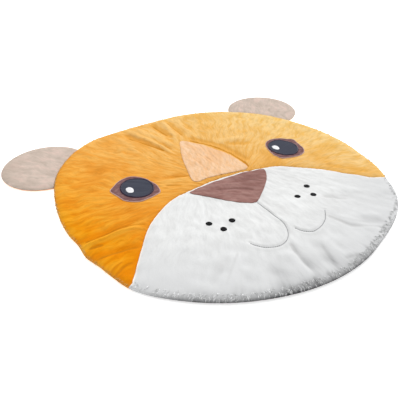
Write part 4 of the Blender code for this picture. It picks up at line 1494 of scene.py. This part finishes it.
class PlayMatColours(bpy.types.PropertyGroup):
    """Colours that a user may change before building."""

    # Each deep colour is darker strokes and also painted shade in troughs, each pale one lighter strokes and also
    # painted light on ridges
    orange: colour("Orange", "Orange plush on the left", 0.70, 0.268, 0.006)
    orange_deep: colour("Deep Orange", "The same in troughs", 0.63, 0.190, 0.002)
    orange_pale: colour("Pale Orange", "The same on ridges", 0.75, 0.350, 0.024)
    # Painted light: the orange paler towards the right, in the plush, its troughs and its ridges
    orange_painted_light: colour("Far Orange", "Orange plush on the right", 0.70, 0.500, 0.210)
    orange_painted_light_deep: colour("Deep Far Orange", "The same in troughs", 0.66, 0.400, 0.100)
    orange_painted_light_pale: colour("Pale Far Orange", "The same on ridges", 0.74, 0.565, 0.300)
    # Painted shade deep in the orange creases
    orange_crease_shade: colour("Orange Crease", "Orange plush deep in a crease", 0.45, 0.170, 0.008)
    orange_rim: colour("Orange Rim", "Orange plush along the side seam", 0.46, 0.260, 0.075)
    orange_fur: colour("Orange Fur", "Tips of the pile along the rim", 0.76, 0.500, 0.180)
    white: colour("White", "White plush", 0.645, 0.650, 0.645)
    white_shade: colour("White Shade", "White plush in troughs", 0.575, 0.575, 0.570)
    white_light: colour("White Light", "White plush on ridges", 0.70, 0.705, 0.705)
    # Painted shade deep in the white creases
    white_crease_shade: colour("White Crease", "White plush deep in a crease", 0.47, 0.465, 0.455)
    # Painted shade towards the chin's rim
    white_chin_painted_shade: colour("White Lee", "White plush towards the chin's rim", 0.545, 0.550, 0.555)
    white_fur: colour("White Fur", "Tips of the white pile along the rim", 0.86, 0.865, 0.87)
    seam_edge: colour("Seam Edge", "Turned edge of the white plush along the seam", 0.85, 0.82, 0.76)
    # Painted shade where the rim turns under
    under_rim_painted_shade: colour("Under The Rim", "White plush where the rim turns under", 0.018, 0.018, 0.021)
    peach: colour("Peach", "Patch between the eyes", 0.71, 0.46, 0.27)
    peach_deep: colour("Deep Peach", "Creases of that patch", 0.68, 0.38, 0.18)
    peach_pale: colour("Pale Peach", "Ridges of that patch", 0.75, 0.53, 0.36)
    nose: colour("Nose", "Nose patch", 0.268, 0.140, 0.122)
    nose_deep: colour("Deep Nose", "Creases of the nose", 0.190, 0.090, 0.078)
    nose_pale: colour("Pale Nose", "Ridges of the nose", 0.350, 0.215, 0.190)
    # Painted shade deep in the creases of the bridge and the nose
    peach_crease_shade: colour("Peach Crease", "That patch deep in a crease", 0.60, 0.30, 0.14)
    nose_crease_shade: colour("Nose Crease", "The nose deep in a crease", 0.13, 0.060, 0.055)
    mauve: colour("Mauve", "Cloth under the eyes", 0.165, 0.083, 0.084)
    mauve_deep: colour("Deep Mauve", "Creases of that cloth", 0.120, 0.055, 0.058)
    mauve_pale: colour("Pale Mauve", "Edge of that cloth", 0.50, 0.33, 0.29)
    slate: colour("Slate", "Pupils", 0.048, 0.052, 0.072)
    pupil_edge: colour("Pupil Edge", "Satin border of the pupils", 0.014, 0.006, 0.028)
    highlight: colour("Highlight", "Highlights", 0.72, 0.72, 0.74)
    dots: colour("Dots", "Whisker dots", 0.008, 0.008, 0.009)
    mouth: colour("Mouth", "Mouth's thread", 0.30, 0.30, 0.31)
    ear: colour("Ear", "Greige plush of the ears", 0.50, 0.415, 0.355)
    ear_deep: colour("Deep Ear", "Darker strokes of the ears", 0.41, 0.33, 0.275)
    ear_pink: colour("Pink Ear", "Pink strokes of the ears", 0.61, 0.455, 0.395)
    floor: colour("Floor", "Studio floor", 0.93, 0.93, 0.93)


def smooth_ground(x, y):
    """Height of the orange plush under the face's patches."""
    return pad_height(x, y, orange_detail(x, y, bpy.context.scene.play_mat_sizes))


def muzzle_ground(x, y):
    """Height of the white plush under what is sewn on it."""
    return pad_height(x, y, white_detail(x, y, bpy.context.scene.play_mat_sizes))


class PLAYMAT_OT_head_pad(bpy.types.Operator):
    """Build the filled orange pad of the head"""

    bl_idname = "play_mat.head_pad"
    bl_label = "Head Pad"

    def execute(self, context):
        pad = make_pad(context.scene.play_mat_sizes, orange_plush(context.scene.play_mat_colours))
        paint_plush(pad, ORANGE_NAP, FOLDS, ORANGE_CREASES)
        at = places(pad)
        # Mask of the painted shade along the seam, reaching wider on the left
        seam = near_line(at[:, 0], at[:, 1], seam_line())
        length = line_length(seam_line())
        left = 1.0 - smooth_step(seam.along / (0.45 * length))
        near = np.exp(-((seam.distance / 0.010) ** 2))
        wide = np.exp(-((seam.distance / 0.045) ** 2))
        paint(pad, "seam", np.clip(0.30 * near + left * (0.35 * near + 0.45 * wide), 0.0, 1.0))
        paint(pad, "rim", np.exp(-(((at[:, 2] - 0.008) / 0.0045) ** 2)))
        dress(pad, "orange_plush", "body")
        return {"FINISHED"}


class PLAYMAT_OT_muzzle(bpy.types.Operator):
    """Build the white plush over the chin half"""

    bl_idname = "play_mat.muzzle"
    bl_label = "Muzzle Plush"

    def execute(self, context):
        panel = make_muzzle(context.scene.play_mat_sizes, white_plush(context.scene.play_mat_colours))
        paint_plush(panel, WHITE_NAP, FOLDS, WHITE_CREASES)
        at = places(panel)
        seam = near_line(at[:, 0], at[:, 1], seam_line())
        paint(panel, "lip", np.exp(-((seam.distance / 0.0042) ** 4)) * smooth_step(at[:, 2] / 0.010))
        # Painted shade where the chin's rim turns under, by height and angle round the head
        angle = np.degrees(np.arctan2(at[:, 1] - HEAD_CENTRE[1], at[:, 0] - HEAD_CENTRE[0])) % 360.0
        height = at[:, 2] - np.interp(angle, RIM_SHIFT[:, 0], RIM_SHIFT[:, 1])
        paint(panel, "under", np.interp(height, RIM_PAINTED_SHADE[:, 0], RIM_PAINTED_SHADE[:, 1]))
        # Painted shade greying the front of the white plush towards the chin's rim
        inset = inset_from_outline(at[:, 0], at[:, 1])
        facing = smooth_step((-0.05 - at[:, 1]) / 0.25)
        paint(panel, "lee", (0.85 * smooth_step((0.26 - inset) / 0.26)) * facing)
        dress(panel, "white_plush", "muzzle_panel")
        return {"FINISHED"}


# Painted shade on the white pile where the rim turns under: how dark, by height
RIM_PAINTED_SHADE = np.array(
    [
        (0.0030, 0.97),
        (0.0065, 0.94),
        (0.0095, 0.82),
        (0.0118, 0.62),
        (0.0134, 0.50),
        (0.0155, 0.30),
        (0.0173, 0.16),
        (0.0186, 0.08),
        (0.0205, 0.0),
    ]
)

# How far that painted shade rises or sinks, by angle round the head
RIM_SHIFT = np.array(
    [
        (205.0, -0.009),
        (213.0, -0.008),
        (220.0, -0.003),
        (228.0, 0.0),
        (245.0, 0.0),
        (253.0, 0.0025),
        (260.0, 0.0015),
        (268.0, 0.0),
        (279.0, 0.0010),
        (285.0, -0.001),
        (293.0, -0.005),
        (303.0, -0.004),
        (312.0, -0.008),
        (345.0, -0.010),
    ]
)


class PLAYMAT_OT_patches(bpy.types.Operator):
    """Build the bridge and the nose"""

    bl_idname = "play_mat.patches"
    bl_label = "Bridge And Nose"

    def execute(self, context):
        colours = context.scene.play_mat_colours
        tones = Tones(colours.peach, colours.peach_deep, colours.peach_pale, colours.peach_crease_shade)
        peach = plain_plush("peach_plush_pile", tones, PATCH_PILE)
        outline = smooth_curve(BRIDGE_OUTLINE, 16, closed=True)

        def bridge_ground(x, y):
            """Orange plush with the bridge's own creases."""
            return smooth_ground(x, y) + fold_rise(x, y, BRIDGE_CREASES)

        bridge = make_patch("bridge_plush", outline, bridge_ground, GAP, PATCH, 0.004, 44, peach)
        paint_plush(bridge, 75.0, (), BRIDGE_CREASES)
        dress(bridge, "peach_plush", "bridge_patch")

        tones = Tones(colours.nose, colours.nose_deep, colours.nose_pale, colours.nose_crease_shade)
        brown = plain_plush("brown_plush_pile", tones, PATCH_PILE)
        outline = smooth_curve(NOSE_OUTLINE, 16, closed=True)

        def nose_ground(x, y):
            """White plush with the nose's own creases."""
            return muzzle_ground(x, y) + fold_rise(x, y, NOSE_CREASES)

        nose = make_patch("nose_plush", outline, nose_ground, GAP, PATCH, 0.004, 44, brown)
        paint_plush(nose, -30.0, (), NOSE_CREASES)
        dress(nose, "brown_plush", "nose_patch")
        return {"FINISHED"}


class PLAYMAT_OT_eyes(bpy.types.Operator):
    """Build both eyes in their layers"""

    bl_idname = "play_mat.eyes"
    bl_label = "Eyes"

    def execute(self, context):
        colours = context.scene.play_mat_colours
        tones = Tones(colours.mauve, colours.mauve_deep, colours.mauve_pale, colours.mauve_deep)
        mauve = plain_plush("mauve_cloth_nap", tones, EYE_CLOTH_PILE)
        tones = Tones(colours.slate, colours.slate, colours.slate, colours.slate)
        slate = plain_plush("slate_cloth_nap", tones, EYE_CLOTH_PILE)
        edge = satin("mauve_border", colours.mauve_pale, 0.6)
        ring = satin("pupil_border", colours.pupil_edge, 0.45)
        white = satin("highlight_satin", colours.highlight, 0.4)
        for row in EYES:
            middle = (row.x, row.y)
            base = turned(np.array(EYE_BASE_OUTLINE) * (row.outward, 1.0), row.tilt_deg)
            base = smooth_curve(base, 8, closed=True) + middle
            cloth = make_patch(f"eye_cloth_{row.side}", base, smooth_ground, GAP, PATCH, 0.003, 26, mauve)
            paint_plush(cloth, 0.0, ())
            dress(cloth, "mauve_cloth", f"eye_base_{row.side}")
            border = ribbon(f"eye_border_{row.side}", base, smooth_ground, GAP, 0.0015, 0.0016, 0.0022, edge)
            dress(border, "mauve_cloth")
            on_base = GAP + PATCH + GAP
            oval = ellipse(middle, PUPIL_RADII, 160)
            pupil = make_patch(f"pupil_cloth_{row.side}", oval, smooth_ground, on_base, STITCHED, 0.003, 22, slate)
            paint_plush(pupil, 0.0, ())
            dress(pupil, "slate_cloth", f"pupil_{row.side}")
            inner = ellipse(middle, (PUPIL_RADII[0] - 0.001, PUPIL_RADII[1] - 0.001), 160)
            lining = ribbon(f"pupil_border_{row.side}", inner, smooth_ground, on_base, 0.0026, 0.0020, 0.0016, ring)
            dress(lining, "slate_cloth")
            spot = (row.x + row.highlight_x, row.y + row.highlight_y)
            on_pupil = on_base + STITCHED + GAP
            glint = satin_dome(
                f"highlight_thread_{row.side}", spot, HIGHLIGHT_RADII, smooth_ground, on_pupil, STITCHED, white
            )
            dress(glint, "white_thread", f"highlight_{row.side}")
        return {"FINISHED"}


class PLAYMAT_OT_whisker_dots(bpy.types.Operator):
    """Build the six satin-stitched dots"""

    bl_idname = "play_mat.whisker_dots"
    bl_label = "Whisker Dots"

    def execute(self, context):
        black = satin("dot_satin", context.scene.play_mat_colours.dots, 0.6, 0.05)
        for side, spots in WHISKER_DOTS.items():
            for number, spot in enumerate(spots, start=1):
                name = f"dot_thread_{side}_{number}"
                dot = satin_dome(name, spot, (DOT_RADIUS, DOT_RADIUS), muzzle_ground, GAP, 0.0016, black)
                dress(dot, "black_thread", f"whisker_dot_{side}_{number}")
        return {"FINISHED"}


class PLAYMAT_OT_mouth(bpy.types.Operator):
    """Stitch the mouth's two lines"""

    bl_idname = "play_mat.mouth"
    bl_label = "Mouth Stitching"

    def execute(self, context):
        grey = satin("mouth_thread_satin", context.scene.play_mat_colours.mouth, 0.6)
        radius = context.scene.play_mat_sizes.thread_radius
        mouth = thread_run("mouth_thread", MOUTH_LINES, muzzle_ground, radius, 0.0050, 0.0006, grey)
        dress(mouth, "white_thread")
        return {"FINISHED"}


class PLAYMAT_OT_ears(bpy.types.Operator):
    """Build both ears: a filled pad with an orange back, and its greige face"""

    bl_idname = "play_mat.ears"
    bl_label = "Ears"

    def execute(self, context):
        colours = context.scene.play_mat_colours
        orange = bpy.data.materials["orange_plush_pile"]
        # The deep ear colour is also painted shade in the troughs of the ears' creases, the pink one painted light on
        # their ridges
        tones = Tones(colours.ear, colours.ear_deep, colours.ear_pink, colours.ear_deep)
        greige = plain_plush("ear_plush_pile", tones, EAR_PILE)
        for row in EARS:
            pad, face = make_ear(row, orange, greige)
            for piece in (pad, face):
                paint_plush(piece, EAR_NAP, EAR_CREASES[row.side])
            dress(pad, "orange_plush", f"ear_{row.side}")
            dress(face, "ear_plush", f"ear_face_{row.side}")
        return {"FINISHED"}


def pile_finish(name, dark, light):
    """Long pile: tufts of two tones."""
    fur = Finish(name)
    shade = fur.noise(fur.place(), 120.0, 1.0)
    return fur.finish(fur.mix(fur.stepped(shade, 0.35, 0.65), dark, light), 0.9, Specular_IOR_Level=0.05)


class PLAYMAT_OT_rim_pile(bpy.types.Operator):
    """Lay tufts of pile along the rim"""

    bl_idname = "play_mat.rim_pile"
    bl_label = "Rim Pile"

    def execute(self, context):
        sizes = context.scene.play_mat_sizes
        colours = context.scene.play_mat_colours
        above, chin = ray_angles(sizes)
        white = pile_finish("white_rim_fur", colours.white, colours.white_fur)
        pile = make_rim_pile("white_rim_pile", chin, white_detail, WHITE_TUFTS, sizes, white)
        dress(pile, "white_plush")
        orange = pile_finish("orange_rim_fur", colours.orange_rim, colours.orange_fur)
        pile = make_rim_pile("orange_rim_pile", above, orange_detail, ORANGE_TUFTS, sizes, orange)
        dress(pile, "orange_plush")
        return {"FINISHED"}


# The photograph's camera
CAMERA_PLACE = (-0.6687, -0.9483, 0.733)
CAMERA_RIGHT = (0.84842, -0.52932, 0.0)
CAMERA_UP = (0.30229, 0.48453, 0.82089)
CAMERA_FORWARD = (0.43451, 0.69646, -0.57109)
CAMERA_LENS = 39.478
CAMERA_SENSOR = 36.0

FLOOR_RADIUS = 9.0
FLOOR_SIDES = 96
WORLD_STRENGTH = 0.72
FLOOR_GLOW = 0.55


class LampRow(NamedTuple):
    """A soft lamp: the direction that its light comes from, its power and its angle across."""

    name: str
    azimuth_deg: float
    elevation_deg: float
    strength: float
    angle_deg: float


LAMPS = (
    LampRow("key", 28.0, 40.0, 2.4, 14.0),
    LampRow("fill", 150.0, 55.0, 0.5, 40.0),
)


def make_floor(colours):
    """A round plain floor whose top is at zero: rings of a disc."""
    turn = np.linspace(0.0, 2 * math.pi, FLOOR_SIDES, endpoint=False)
    reach = np.array([0.0, 0.5, 1.0, 2.0, 4.0, 1.0 * FLOOR_RADIUS])[:, None]
    disc = Surface()
    disc.add_grid(stack(reach * np.cos(turn), reach * np.sin(turn), -0.0002), closed=True)
    floor = Finish("studio_floor")
    patches = floor.noise(floor.place(), 1.5, 2.0)
    tone = floor.mix(patches, colours.floor, tuple(min(1.0, c * 1.02) for c in colours.floor))
    material = floor.finish(
        tone, 0.8, Specular_IOR_Level=0.1, Emission_Color=(1.0, 1.0, 1.0, 1.0), Emission_Strength=FLOOR_GLOW
    )
    return disc.build("studio_floor", material)


def make_camera():
    """The camera at the photograph's place and angle."""
    data = bpy.data.cameras.new("camera")
    data.sensor_width = CAMERA_SENSOR
    data.lens = CAMERA_LENS
    camera = bpy.data.objects.new("camera", data)
    axes = Matrix((CAMERA_RIGHT, CAMERA_UP, [-c for c in CAMERA_FORWARD])).transposed()
    camera.matrix_world = Matrix.Translation(CAMERA_PLACE) @ axes.to_4x4()
    bpy.context.scene.collection.objects.link(camera)
    bpy.context.scene.camera = camera


def make_lamps():
    """Soft lamps as suns, each turned so that it shines from its own direction."""
    for row in LAMPS:
        data = bpy.data.lights.new(row.name, "SUN")
        data.energy = row.strength
        data.angle = math.radians(row.angle_deg)
        azimuth = math.radians(row.azimuth_deg)
        elevation = math.radians(row.elevation_deg)
        flat = math.cos(elevation)
        source = Vector((flat * math.cos(azimuth), flat * math.sin(azimuth), math.sin(elevation)))
        lamp = bpy.data.objects.new(row.name, data)
        lamp.rotation_euler = source.to_track_quat("Z", "Y").to_euler()
        bpy.context.scene.collection.objects.link(lamp)


def make_world():
    """An even white sky."""
    world = bpy.data.worlds.new("studio")
    world.use_nodes = True
    background = world.node_tree.nodes["Background"]
    background.inputs["Color"].default_value = (1.0, 1.0, 1.0, 1.0)
    background.inputs["Strength"].default_value = WORLD_STRENGTH
    bpy.context.scene.world = world
    bpy.context.scene.view_settings.view_transform = "Standard"


class PLAYMAT_OT_stage(bpy.types.Operator):
    """Make the floor, the soft light and the camera"""

    bl_idname = "play_mat.stage"
    bl_label = "Stage"

    def execute(self, context):
        make_floor(context.scene.play_mat_colours)
        make_camera()
        make_lamps()
        make_world()
        return {"FINISHED"}


BUILD_ORDER = (
    PLAYMAT_OT_head_pad,
    PLAYMAT_OT_muzzle,
    PLAYMAT_OT_patches,
    PLAYMAT_OT_eyes,
    PLAYMAT_OT_whisker_dots,
    PLAYMAT_OT_mouth,
    PLAYMAT_OT_ears,
    PLAYMAT_OT_rim_pile,
    PLAYMAT_OT_stage,
)


class PLAYMAT_PT_panel(bpy.types.Panel):
    """Sizes, colours and the operators, in the order that they run"""

    bl_idname = "PLAYMAT_PT_panel"
    bl_label = "Play Mat"
    bl_space_type = "VIEW_3D"
    bl_region_type = "UI"
    bl_category = "Play Mat"

    def draw(self, context):
        for group in (context.scene.play_mat_sizes, context.scene.play_mat_colours):
            for name in group.__annotations__:
                self.layout.prop(group, name)
        for operator in BUILD_ORDER:
            self.layout.operator(operator.bl_idname)


CLASSES = (PlayMatSizes, PlayMatColours, *BUILD_ORDER, PLAYMAT_PT_panel)


def register():
    """Register the classes and hang the properties on the scene."""
    for kind in CLASSES:
        bpy.utils.register_class(kind)
    bpy.types.Scene.play_mat_sizes = bpy.props.PointerProperty(type=PlayMatSizes)
    bpy.types.Scene.play_mat_colours = bpy.props.PointerProperty(type=PlayMatColours)


def unregister():
    """Take the properties and the classes away."""
    del bpy.types.Scene.play_mat_colours
    del bpy.types.Scene.play_mat_sizes
    for kind in reversed(CLASSES):
        bpy.utils.unregister_class(kind)


def main():
    """Build every piece."""
    register()
    for operator in BUILD_ORDER:
        group, name = operator.bl_idname.split(".")
        getattr(getattr(bpy.ops, group), name)()


if __name__ == "__main__":
    main()
